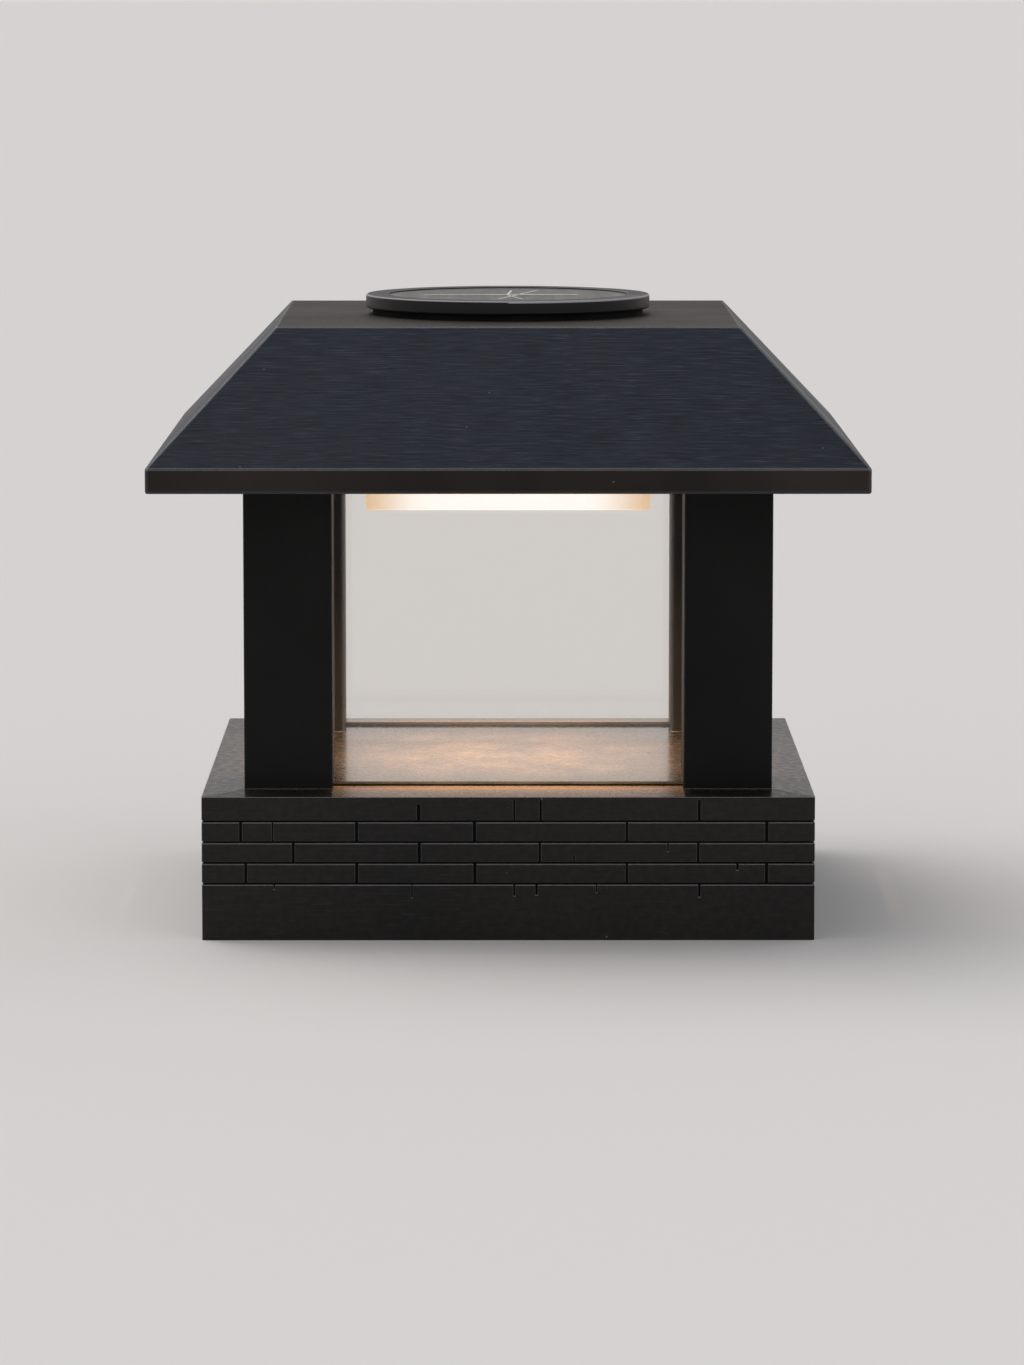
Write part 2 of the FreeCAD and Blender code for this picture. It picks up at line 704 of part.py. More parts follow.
def make_battery_contact(side):
    """Sprung contact strip at one end of the bay, with a tab up through its ceiling."""
    wall_face = bay_half_length
    crown = battery_length / 2
    thick = contact_thickness
    half_height = battery_radius - bay_side_clearance
    back = block(wall_face - thick, wall_face, -contact_half_width, contact_half_width,
                 battery_height - half_height, bay_ceiling)
    tab = block(wall_face - thick, wall_face, -contact_tab_half_width, contact_tab_half_width,
                bay_ceiling, bay_top + contact_tab_rise)
    low = battery_height - half_height
    bow = [(wall_face - thick, low), (crown, battery_height - thick), (crown, battery_height + thick),
           (crown + thick, battery_height + thick), (crown + thick, battery_height - thick),
           (wall_face - thick, low + 2 * thick)]
    points = [V(x, -contact_tab_half_width, z) for x, z in bow]
    spring = Part.Face(Part.makePolygon(points + points[:1])).extrude(V(0, 2 * contact_tab_half_width, 0))
    contact = fuse([back, tab, spring])
    if side < 0:
        contact = contact.mirror(V(0, 0, 0), V(1, 0, 0))
    return contact


# --- Solar module: control board ---
def make_control_board():
    """Board on the standoffs, which carries the lamps, the switch and the charging circuit."""
    half = board_width / 2
    return block(-half, half, board_front, board_rear, board_under, board_top)


def make_lamps():
    """Two light-emitting diodes that point down through the base."""
    lamps = []
    for side in (-1, 1):
        x = side * lamp_spacing / 2
        dome_centre = module_under + lamp_recess + lamp_radius
        lamp = fuse([rod(lamp_radius, dome_centre, board_under, x, board_middle),
                     rod(lamp_flange_radius, base_top, board_under, x, board_middle),
                     Part.makeSphere(lamp_radius, V(x, board_middle, dome_centre))])
        lamps.append(lamp)
    return Part.makeCompound(lamps)


def slider_top():
    """Top of the switch slider inside its case."""
    return board_under - switch_depth + slider_clearance + slider_height


def make_switch_body():
    """Case of the slide switch, open below."""
    half = (slider_length + switch_travel) / 2 + slider_clearance
    deep = slider_width / 2 + slider_clearance
    case = block(-half - switch_wall, half + switch_wall, board_middle - deep - switch_wall,
                 board_middle + deep + switch_wall, board_under - switch_depth, board_under)
    return case.cut(block(-half, half, board_middle - deep, board_middle + deep,
                          board_under - switch_depth, slider_top() + slider_clearance))


def make_switch_slider():
    """Slider at the off end of its travel, with a nub through the slot in the base."""
    x = -switch_travel / 2
    low = board_under - switch_depth + slider_clearance
    half, nub = slider_length / 2, slider_nub_length / 2
    deep, nub_deep = slider_width / 2, slider_nub_width / 2
    body = block(x - half, x + half, board_middle - deep, board_middle + deep, low, slider_top())
    stem = block(x - nub, x + nub, board_middle - nub_deep, board_middle + nub_deep,
                 module_under - slider_nub_stand, low)
    return fuse([body, stem])


def make_driver_chip():
    """Charging and lamp driver chip."""
    length, width, height = chip_size
    x, y = -board_width / 4, board_middle
    return block(x - length / 2, x + length / 2, y - width / 2, y + width / 2, board_top, board_top + height)


def make_boost_coil():
    """Small wound coil in its can."""
    return rod(coil_radius, board_top, board_top + coil_height, board_width / 4, board_middle)


def make_capacitor():
    """Upright capacitor at the front of the board."""
    return rod(capacitor_radius, board_top, board_top + capacitor_height, 0, board_front + 2 * standoff_inset)


def make_cell_leads():
    """Two leads from the cell's board down to the control board."""
    return Part.makeCompound([rod(lead_radius, board_top, plug_top, side * lead_spacing / 2, lead_place())
                              for side in (-1, 1)])


def make_battery_leads():
    """Two leads from the contacts' tabs to the control board."""
    leads = []
    level = bay_top + contact_tab_rise / 2
    landing_x = board_width / 2 - standoff_inset
    landing_y = board_middle + lead_spacing
    for side in (-1, 1):
        start = side * (bay_half_length - contact_thickness)
        points = [(start, 0, level), (side * (bay_half_length - 2 * knuckle_length), 0, level),
                  (side * landing_x, landing_y, level), (side * landing_x, landing_y, board_top)]
        leads.append(wire_run(points, lead_radius))
    return Part.makeCompound(leads)


def make_module_screws():
    """Screws up through the base into the plug's bosses."""
    return Part.makeCompound([screw(x, y, module_under, module_screw_length, flush_head_height, 1)
                              for x, y in module_screw_places()])


def make_panes_and_posts():
    """The four panes and the four corner posts, by name."""
    made = {}
    for name, shape in zip(("front", "right", "rear", "left"), four_ways(make_window_pane())):
        made["window_pane_" + name] = shape
    for side_x, side_y in CORNERS:
        name = ("front" if side_y < 0 else "rear") + "_" + ("left" if side_x < 0 else "right")
        made["corner_post_" + name] = make_corner_post(side_x, side_y)
    return made


def main():
    parts = {
        "base_skirt": make_base_skirt(),
        "lantern_floor": make_lantern_floor(),
        "pane_seals_lower": make_seals(deck_top - seal_depth, deck_top + seal_stand),
        "pane_seals_upper": make_seals(ceiling_under - seal_stand, ceiling_under + seal_depth),
        "post_screws_lower": make_post_screws(deck_under + screw_head_height, 1),
        "post_screws_upper": make_post_screws(ceiling_top, -1),
        "ceiling_plate": make_ceiling_plate(),
        "ceiling_screws": make_ceiling_screws(),
        "roof_shell": make_roof_shell(),
        "diffuser": make_diffuser(),
        "light_well": make_light_well(),
        "well_screws": make_well_screws(),
        "module_bezel": make_module_bezel(),
        "module_seal": make_module_seal(),
        "cell_window": make_cell_window(),
        "solar_cell": make_solar_cell(),
        "cell_board": make_cell_board(),
        "module_body": make_module_body(),
        "plug_ring": make_plug_ring(),
        "module_base": make_module_base(),
        "module_screws": make_module_screws(),
        "battery": make_battery(),
        "battery_contact_positive": make_battery_contact(1),
        "battery_contact_negative": make_battery_contact(-1),
        "battery_leads": make_battery_leads(),
        "battery_door": make_battery_door(),
        "door_hinge_pin": make_door_hinge_pin(),
        "control_board": make_control_board(),
        "lamps": make_lamps(),
        "driver_chip": make_driver_chip(),
        "boost_coil": make_boost_coil(),
        "capacitor": make_capacitor(),
        "cell_leads": make_cell_leads(),
        "switch_body": make_switch_body(),
        "switch_slider": make_switch_slider(),
    }
    parts.update(make_panes_and_posts())
    os.makedirs("parts", exist_ok=True)
    for name, shape in parts.items():
        shape.exportStep("parts/" + name + ".step")
        print(f"{name}: {len(shape.Solids)} solid(s), {shape.Volume:.1f} mm3, valid {shape.isValid()}")


main()
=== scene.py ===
import math

import bmesh
import bpy
from bpy.props import FloatProperty, FloatVectorProperty, PointerProperty
from mathutils import Matrix, Vector


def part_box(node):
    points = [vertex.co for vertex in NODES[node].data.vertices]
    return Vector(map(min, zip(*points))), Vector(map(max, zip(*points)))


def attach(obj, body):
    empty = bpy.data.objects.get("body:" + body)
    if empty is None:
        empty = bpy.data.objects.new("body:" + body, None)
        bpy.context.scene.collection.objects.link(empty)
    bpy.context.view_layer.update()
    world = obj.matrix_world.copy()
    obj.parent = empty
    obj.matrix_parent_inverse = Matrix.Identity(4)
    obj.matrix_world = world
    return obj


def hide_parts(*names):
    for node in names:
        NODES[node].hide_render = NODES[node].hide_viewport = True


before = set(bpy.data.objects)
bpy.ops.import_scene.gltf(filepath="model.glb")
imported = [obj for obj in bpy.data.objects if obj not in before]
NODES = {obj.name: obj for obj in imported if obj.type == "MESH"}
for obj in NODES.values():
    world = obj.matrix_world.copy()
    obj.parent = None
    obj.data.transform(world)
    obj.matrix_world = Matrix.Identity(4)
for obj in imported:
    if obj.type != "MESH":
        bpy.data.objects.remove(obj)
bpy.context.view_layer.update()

bl_info = {
    "name": "Deck Post Cap Light",
    "version": (1, 0, 0),
    "blender": (4, 5, 0),
    "location": "3D View > Sidebar > Cap Light",
    "description": "Finishes a solar cap light for a deck post and sets it on a pale studio floor",
    "category": "Object",
}

MM = 0.001

# Places read from the frame, in metres.
SKIRT_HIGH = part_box("base_skirt")[1]
CELL_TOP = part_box("solar_cell")[1].z
WINDOW_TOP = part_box("cell_window")[1].z
DIFFUSER_LOW, DIFFUSER_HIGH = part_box("diffuser")
DIFFUSER_MIDDLE = (DIFFUSER_LOW + DIFFUSER_HIGH) / 2
DIFFUSER_WIDTH = DIFFUSER_HIGH.x - DIFFUSER_LOW.x
BATTERY_LOW, BATTERY_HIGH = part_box("battery")
# From the middle to the inner sides of the corner posts.
OPENING_REACH = -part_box("corner_post_front_left")[1].x

# A face is level where its normal's upright part is more than this.
LEVEL_FROM = 0.93


def colour(name, text, default):
    """A colour property with its default."""
    return FloatVectorProperty(
        name=name, description=text, subtype="COLOR", size=3, min=0.0, max=1.0, default=default)


def number(name, text, default, low, high, unit="NONE"):
    """A number property with its default, its limits and its unit."""
    return FloatProperty(
        name=name, description=text, default=default, min=low, max=high, unit=unit)


class CapLightFinish(bpy.types.PropertyGroup):
    """Colours and surface sizes of the light."""

    # The blue in this colour is a painted sky reflection over the black finish.
    roof_colour: colour("Roof", "Blue-black of the roof's slopes", (0.0112, 0.0156, 0.0262))
    shell_colour: colour(
        "Shell", "Black of the skirt and the corner posts", (0.0090, 0.0087, 0.0086))
    fascia_colour: colour(
        "Fascia", "Warm black of the roof's upright edge", (0.0095, 0.0068, 0.0055))
    # Painted highlight: this grey along edges stands partly for rubbed wear and partly for light
    # that the edges catch.
    wear_and_highlight_colour: colour("Worn edge", "Grey that shows along rubbed edges", (0.34, 0.345, 0.37))
    # Painted highlight: warm light along the corner posts' edges.
    rim_highlight_colour: colour("Post rim", "Warm grey along the corner posts' edges", (0.58, 0.47, 0.37))
    fleck_colour: colour("Fleck", "Pale specks in the black moulding", (0.30, 0.26, 0.21))
    rubber_colour: colour("Rubber", "Seals and rings", (0.008, 0.008, 0.008))
    cell_colour: colour("Cell", "Dark silicon under the window", (0.020, 0.017, 0.015))
    busbar_colour: colour("Busbar", "Printed silver lines on the cell", (0.55, 0.53, 0.50))
    board_colour: colour("Board", "Solder mask", (0.012, 0.085, 0.030))
    sleeve_colour: colour(
        "Battery sleeve", "Shrink sleeve round the battery", (0.035, 0.20, 0.07))
    reflector_colour: colour("Light well", "White inside of the light well", (0.80, 0.80, 0.77))
    lead_colour: colour("Leads", "Insulation on the leads", (0.33, 0.02, 0.018))
    grain_length: number(
        "Grain length", "Length of a streak in the roof's grain",
        8 * MM, 1 * MM, 80 * MM, "LENGTH")
    grain_pitch: number(
        "Grain pitch", "Distance between streaks in the roof's grain",
        0.27 * MM, 0.1 * MM, 5 * MM, "LENGTH")
    edge_radius: number(
        "Edge radius", "How far the light rolls round a moulded edge",
        0.22 * MM, 0.02 * MM, 2 * MM, "LENGTH")


class CapLightGlow(bpy.types.PropertyGroup):
    """The lit diffuser."""

    glow_middle: colour("Middle", "Colour of the diffuser under the lamps", (1.0, 0.95, 0.90))
    glow_edge: colour("Edge", "Colour of the diffuser at its corners", (0.70, 0.47, 0.27))
    glow_strength: number("Strength", "Brightness of the diffuser's middle", 1.0, 0.0, 10.0)
    spill_colour: colour(
        "Spill", "Colour of the light that falls from the diffuser", (1.0, 0.65, 0.38))
    spill_power: number(
        "Spill power", "Power of the light that falls from the diffuser", 0.95, 0.0, 10.0, "POWER")
    spill_spread: number(
        "Spill spread", "How far the falling light fans out",
        math.radians(67), 0.1, math.pi, "ROTATION")


class CapLightStage(bpy.types.PropertyGroup):
    """Floor, lamp, backdrop and camera."""

    floor_colour: colour("Floor", "Pale floor", (0.775, 0.75, 0.725))
    horizon_colour: colour(
        "Backdrop", "Pale backdrop, and the light from all round", (0.71, 0.68, 0.66))
    zenith_colour: colour(
        "Overhead", "Cooler and dimmer light from straight above", (0.38, 0.41, 0.455))
    floor_radius: number("Floor radius", "Reach of the floor", 40.0, 0.5, 100.0, "LENGTH")
    lamp_strength: number("Lamp", "Strength of the broad lamp behind and above", 1.35, 0.0, 10.0)
    lamp_spread: number(
        "Lamp spread", "How broad the lamp is, seen from the light",
        math.radians(55), 0.0, 3.1, "ROTATION")
    camera_distance: number(
        "Camera distance", "Level distance from the light's middle", 1.3143, 0.2, 10.0, "LENGTH")
    camera_height: number(
        "Camera height", "Height above the floor", 0.2109, -1.0, 3.0, "LENGTH")
    camera_side: number("Camera side", "Offset to the right", -0.0018, -2.0, 2.0, "LENGTH")
    camera_pitch: number(
        "Camera pitch", "Downward tilt", math.radians(7.036), -1.5, 1.5, "ROTATION")
    camera_yaw: number("Camera yaw", "Turn to the right", 0.0021, -3.2, 3.2, "ROTATION")
    camera_lens: number("Lens", "Focal length on a 36 mm frame", 151.9, 10.0, 500.0)


# --- Building shader trees ---
def feed(tree, node, **sockets):
    """Links or sets a node's inputs. Underscores stand for spaces, and a tuple is a colour."""
    for label, value in sockets.items():
        socket = node.inputs[label.replace("_", " ")]
        if isinstance(value, bpy.types.NodeSocket):
            tree.links.new(value, socket)
        elif isinstance(value, tuple):
            socket.default_value = (*value[:3], 1.0)
        else:
            socket.default_value = value


def put(tree, kind, inputs=None, **settings):
    """A node with its settings, its constant inputs and its links."""
    node = tree.nodes.new(kind)
    for name, value in settings.items():
        setattr(node, name, value)
    for socket, value in (inputs or {}).items():
        if isinstance(value, bpy.types.NodeSocket):
            tree.links.new(value, node.inputs[socket])
        else:
            node.inputs[socket].default_value = value
    return node


def maths(tree, operation, a, b=0.0):
    """The result of one scalar sum."""
    return put(tree, "ShaderNodeMath", {0: a, 1: b}, operation=operation).outputs[0]


def times(tree, a, b):
    """The product of two values."""
    return maths(tree, "MULTIPLY", a, b)


def vector_maths(tree, operation, a, b):
    """The result of one vector sum."""
    return put(tree, "ShaderNodeVectorMath", {0: a, 1: b}, operation=operation).outputs[0]


def parts_of(tree, vector):
    """The three parts of a vector."""
    return put(tree, "ShaderNodeSeparateXYZ", {0: vector}).outputs


def own_place(tree):
    """Object coordinates: metres in the frame, which the piece carries along when it moves."""
    return put(tree, "ShaderNodeTexCoord").outputs["Object"]


def upright_part(tree):
    """How far the surface looks up: 1 up, 0 sideways and -1 down."""
    return parts_of(tree, put(tree, "ShaderNodeTexCoord").outputs["Normal"])[2]


def noise(tree, vector, scale, detail, roughness=0.5):
    """The outputs of a noise texture."""
    return put(tree, "ShaderNodeTexNoise", {
        "Vector": vector, "Scale": scale, "Detail": detail, "Roughness": roughness}).outputs


def remap(tree, value, low, high, to_low=0.0, to_high=1.0):
    """A value moved from one range to another and clamped."""
    return put(tree, "ShaderNodeMapRange", {
        "Value": value, "From Min": low, "From Max": high,
        "To Min": to_low, "To Max": to_high}).outputs[0]


def between(tree, mask, low, high):
    """A value that goes from low to high as the mask goes from 0 to 1."""
    return remap(tree, mask, 0.0, 1.0, low, high)


def blend_values(tree, mask, a, b):
    """Value a where the mask is 0 and b where it is 1."""
    return put(tree, "ShaderNodeMix", {0: mask, 2: a, 3: b}).outputs[0]


def blend_colours(tree, mask, a, b):
    """Colour a where the mask is 0 and b where it is 1."""
    node = put(tree, "ShaderNodeMix", data_type="RGBA")
    for index, value in ((0, mask), (6, a), (7, b)):
        if isinstance(value, bpy.types.NodeSocket):
            tree.links.new(value, node.inputs[index])
        else:
            node.inputs[index].default_value = (*value[:3], 1.0)
    return node.outputs[2]


def layer(tree, base, mask, tone, share=1.0):
    """A base with a tone over it where the mask is 1, at most by a share."""
    return blend_colours(tree, mask if share == 1.0 else times(tree, mask, share), base, tone)


def shade(tone, factor):
    """A colour made darker or lighter."""
    return tuple(c * factor for c in tone)


def start_group(name, inputs, outputs):
    """A shader node group with named sockets: its tree, its inputs and its output node."""
    tree = bpy.data.node_groups.new(name, "ShaderNodeTree")
    for label, default in inputs.items():
        socket = tree.interface.new_socket(
            name=label, in_out="INPUT", socket_type="NodeSocketFloat")
        socket.default_value = default
    for label in outputs:
        kind = "NodeSocketVector" if label in ("Vector", "Normal") else "NodeSocketFloat"
        tree.interface.new_socket(name=label, in_out="OUTPUT", socket_type=kind)
    given = tree.nodes.new("NodeGroupInput").outputs
    return tree, given, tree.nodes.new("NodeGroupOutput")


def use_group(tree, name, **values):
    """The outputs of a shared group, placed in a tree with its own values."""
    node = tree.nodes.new("ShaderNodeGroup")
    node.node_tree = GROUPS[name]
    feed(tree, node, **values)
    return node.outputs


def group_grain_direction():
    """Coordinates that run level along a face and up it, whichever way the face looks."""
    tree, _, out = start_group("Grain direction", {}, ["Vector", "Level"])
    place = put(tree, "ShaderNodeTexCoord").outputs
    nx, ny, nz = (maths(tree, "ABSOLUTE", part) for part in parts_of(tree, place["Normal"]))
    x, y, z = parts_of(tree, place["Object"])
    level = maths(tree, "GREATER_THAN", nz, LEVEL_FROM)
    sideways = maths(tree, "GREATER_THAN", nx, ny)
    side = times(tree, sideways, maths(tree, "SUBTRACT", 1.0, level))
    along = blend_values(tree, side, x, y)
    up = blend_values(tree, level, z, y)
    vector = put(tree, "ShaderNodeCombineXYZ", {0: along, 1: up, 2: side})
    feed(tree, out, Vector=vector.outputs[0], Level=level)
    return tree


def group_drawn_grain():
    """Fine level dashes, as on paint over a wood-grained moulding."""
    tree, given, out = start_group(
        "Drawn grain", {"Length": 6 * MM, "Pitch": 0.4 * MM},
        ["Height", "Dashes", "Streaks", "Bands"])
    vector = use_group(tree, "direction")["Vector"]
    # The streaks wander a little up and down along their way.
    wander = times(tree, noise(tree, vector, scale=40.0, detail=1.0)[0], 1.4 * MM)
    lift = put(tree, "ShaderNodeCombineXYZ", {1: wander}).outputs[0]
    bent = vector_maths(tree, "ADD", lift, vector)
    # The third part keeps faces that look other ways from having the same streaks.
    stretch = put(tree, "ShaderNodeCombineXYZ", {
        0: maths(tree, "DIVIDE", 1.0, given["Length"]),
        1: maths(tree, "DIVIDE", 1.0, given["Pitch"]), 2: 37.0}).outputs[0]
    stretched = vector_maths(tree, "MULTIPLY", bent, stretch)
    fine = noise(tree, stretched, scale=1.0, detail=3.0, roughness=0.6)[0]
    coarse = vector_maths(tree, "MULTIPLY", stretched, (0.30, 0.12, 1.0))
    bands = noise(tree, coarse, scale=1.0, detail=2.0)[0]
    presence = remap(tree, noise(tree, vector, scale=45.0, detail=2.0)[0], 0.40, 0.60, 0.35, 1.0)
    feed(tree, out,
         Height=times(tree, fine, presence),
         Dashes=times(tree, remap(tree, fine, 0.57, 0.74), presence),
         Streaks=remap(tree, fine, 0.34, 0.66),
         Bands=remap(tree, bands, 0.35, 0.65))
    return tree


def group_mottle():
    """Slow and quick changes of tone, each from 0 to 1."""
    tree, given, out = start_group(
        "Mottle", {"Patch size": 30 * MM, "Spot size": 3 * MM}, ["Patches", "Spots"])
    place = own_place(tree)
    for label, size, detail in (("Patches", "Patch size", 3.0), ("Spots", "Spot size", 4.0)):
        scale = maths(tree, "DIVIDE", 1.0, given[size])
        cloud = noise(tree, place, scale, detail)[0]
        feed(tree, out, **{label: remap(tree, cloud, 0.3, 0.7)})
    return tree


def group_flecks():
    """Sparse bright specks and short nicks."""
    tree, given, out = start_group(
        "Flecks", {"Spacing": 4 * MM, "Size": 0.07, "Share": 0.3}, ["Mask"])
    place = own_place(tree)
    jitter = noise(tree, place, scale=1400.0, detail=2.0)["Color"]
    shift = vector_maths(tree, "MULTIPLY", jitter, (1.1 * MM,) * 3)
    moved = vector_maths(tree, "ADD", place, shift)
    cells = put(tree, "ShaderNodeTexVoronoi", {
        "Vector": moved, "Scale": maths(tree, "DIVIDE", 1.0, given["Spacing"])}).outputs
    lot = put(tree, "ShaderNodeSeparateColor", {0: cells["Color"]}).outputs
    chosen = maths(tree, "LESS_THAN", lot[0], given["Share"])
    reach = times(tree, given["Size"], maths(tree, "ADD", lot[1], 0.35))
    near = maths(tree, "LESS_THAN", cells["Distance"], reach)
    feed(tree, out, Mask=times(tree, chosen, near))
    return tree


def group_pebble():
    """The small creased pebbles of a leather-textured moulding."""
    tree, given, out = start_group("Pebble", {"Pebble size": 1.1 * MM}, ["Height"])
    place = own_place(tree)
    warp = noise(tree, place, scale=420.0, detail=2.0)["Color"]
    shift = vector_maths(tree, "MULTIPLY", warp, (1.2 * MM,) * 3)
    cells = put(tree, "ShaderNodeTexVoronoi", {
        "Vector": vector_maths(tree, "ADD", place, shift),
        "Scale": maths(tree, "DIVIDE", 1.0, given["Pebble size"])}, feature="SMOOTH_F1").outputs
    dome = remap(tree, cells["Distance"], 0.0, 0.7, 1.0, 0.0)
    swell = noise(tree, place, scale=160.0, detail=3.0)[0]
    feed(tree, out, Height=maths(tree, "ADD", dome, swell))
    return tree


def group_rounded_edge():
    """A rounded normal, a mask along the edges that look up, and one along every edge."""
    tree, given, out = start_group(
        "Rounded edge", {"Radius": 0.2 * MM}, ["Normal", "Mask", "Rim"])
    rounded = put(tree, "ShaderNodeBevel", {"Radius": given["Radius"]}, samples=6).outputs[0]
    flat = put(tree, "ShaderNodeNewGeometry").outputs["Normal"]
    same = put(tree, "ShaderNodeVectorMath", {0: rounded, 1: flat}, operation="DOT_PRODUCT")
    rim = remap(tree, same.outputs["Value"], 0.995, 0.96)
    # Painted highlight: the mask is strongest along edges that look up, where light would catch
    # them.
    lit = remap(tree, parts_of(tree, rounded)[2], -0.05, 0.35, 0.12, 1.0)
    feed(tree, out, Normal=rounded, Mask=times(tree, rim, lit), Rim=rim)
    return tree


def group_dust():
    """A thin film of dust where a surface looks up."""
    tree, given, out = start_group("Dust", {"Amount": 0.2}, ["Mask"])
    lies = remap(tree, upright_part(tree), 0.55, 1.0)
    film = noise(tree, own_place(tree), scale=70.0, detail=6.0, roughness=0.7)[0]
    cover = remap(tree, film, 0.45, 0.75)
    feed(tree, out, Mask=times(tree, given["Amount"], times(tree, lies, cover)))
    return tree


GROUPS = {}


def make_groups():
    """All the shared effects, built once. The grain uses the direction, so that comes first."""
    for name, build in (
            ("direction", group_grain_direction), ("grain", group_drawn_grain),
            ("mottle", group_mottle), ("flecks", group_flecks), ("pebble", group_pebble),
            ("edge", group_rounded_edge), ("dust", group_dust)):
        GROUPS[name] = build()


def new_material(name):
    """A material, its tree, its Principled shader and its output node."""
    material = bpy.data.materials.new(name)
    material.use_nodes = True
    tree = material.node_tree
    return material, tree, tree.nodes["Principled BSDF"], tree.nodes["Material Output"]


def bump(tree, height, distance, strength=1.0, normal=None):
    """A normal tilted by a height in metres."""
    inputs = {"Height": height, "Distance": distance, "Strength": strength}
    if normal is not None:
        inputs["Normal"] = normal
    return put(tree, "ShaderNodeBump", inputs).outputs[0]


# --- Finishes ---
def finish_roof(look):
    """Black satin with a painted blue sky cast and a fine level grain on its slopes, pale edges of
    wear and painted highlight, and a few flecks.
    """
    material, tree, shader, _ = new_material("Roof enamel")
    grain = use_group(tree, "grain", Length=look.grain_length, Pitch=look.grain_pitch)
    mottle = use_group(tree, "mottle", Patch_size=45 * MM, Spot_size=2.5 * MM)
    flecks = use_group(tree, "flecks", Spacing=4.5 * MM, Size=0.022, Share=0.35)
    edge = use_group(tree, "edge", Radius=look.edge_radius * 3.6)
    dust = use_group(tree, "dust", Amount=0.06)
    pebble = use_group(tree, "pebble", Pebble_size=1.2 * MM)
    level = use_group(tree, "direction")["Level"]
    dash_tone, border_tone = (0.042, 0.049, 0.062), (0.026, 0.0195, 0.0145)
    dust_tone, patch_tone = (0.30, 0.28, 0.25), shade(look.shell_colour, 1.2)
    # 1 on the upright fascia and 0 on the slopes.
    fascia = remap(tree, maths(tree, "ABSOLUTE", upright_part(tree)), 0.15, 0.5, 1.0, 0.0)
    # The slopes' blue cast is a painted sky reflection over the black finish.
    roof = look.roof_colour
    slope_tone = blend_colours(tree, grain["Streaks"], shade(roof, 0.25), shade(roof, 1.7))
    slope_tone = layer(tree, slope_tone, grain["Bands"], shade(roof, 1.5), share=0.25)
    slope_tone = layer(tree, slope_tone, mottle["Patches"], patch_tone, share=0.20)
    slope_tone = layer(tree, slope_tone, grain["Dashes"], dash_tone)
    brown = look.fascia_colour
    fascia_tone = blend_colours(tree, mottle["Patches"], shade(brown, 0.6), shade(brown, 2.6))
    base = blend_colours(tree, fascia, slope_tone, fascia_tone)
    base = layer(tree, base, level, border_tone)
    base = layer(tree, base, flecks["Mask"], look.fleck_colour)
    # Pale edges: rubbed wear and a painted highlight along the edges that look up.
    base = layer(tree, base, edge["Mask"], shade(look.wear_and_highlight_colour, 1.45))
    base = layer(tree, base, dust["Mask"], dust_tone)
    dull = maths(tree, "ADD", mottle["Patches"], grain["Streaks"])
    rough = remap(tree, dull, 0.0, 2.0, 0.36, 0.58)
    rough = maths(tree, "ADD", rough, times(tree, level, 0.12))
    relief = times(tree, grain["Height"], between(tree, fascia, 1.0, 0.12))
    relief = blend_values(tree, level, relief, times(tree, pebble["Height"], 1.2))
    feed(tree, shader, Base_Color=base, Roughness=rough, Specular_IOR_Level=0.20,
         Normal=bump(tree, relief, 0.07 * MM, strength=0.9, normal=edge["Normal"]))
    return material


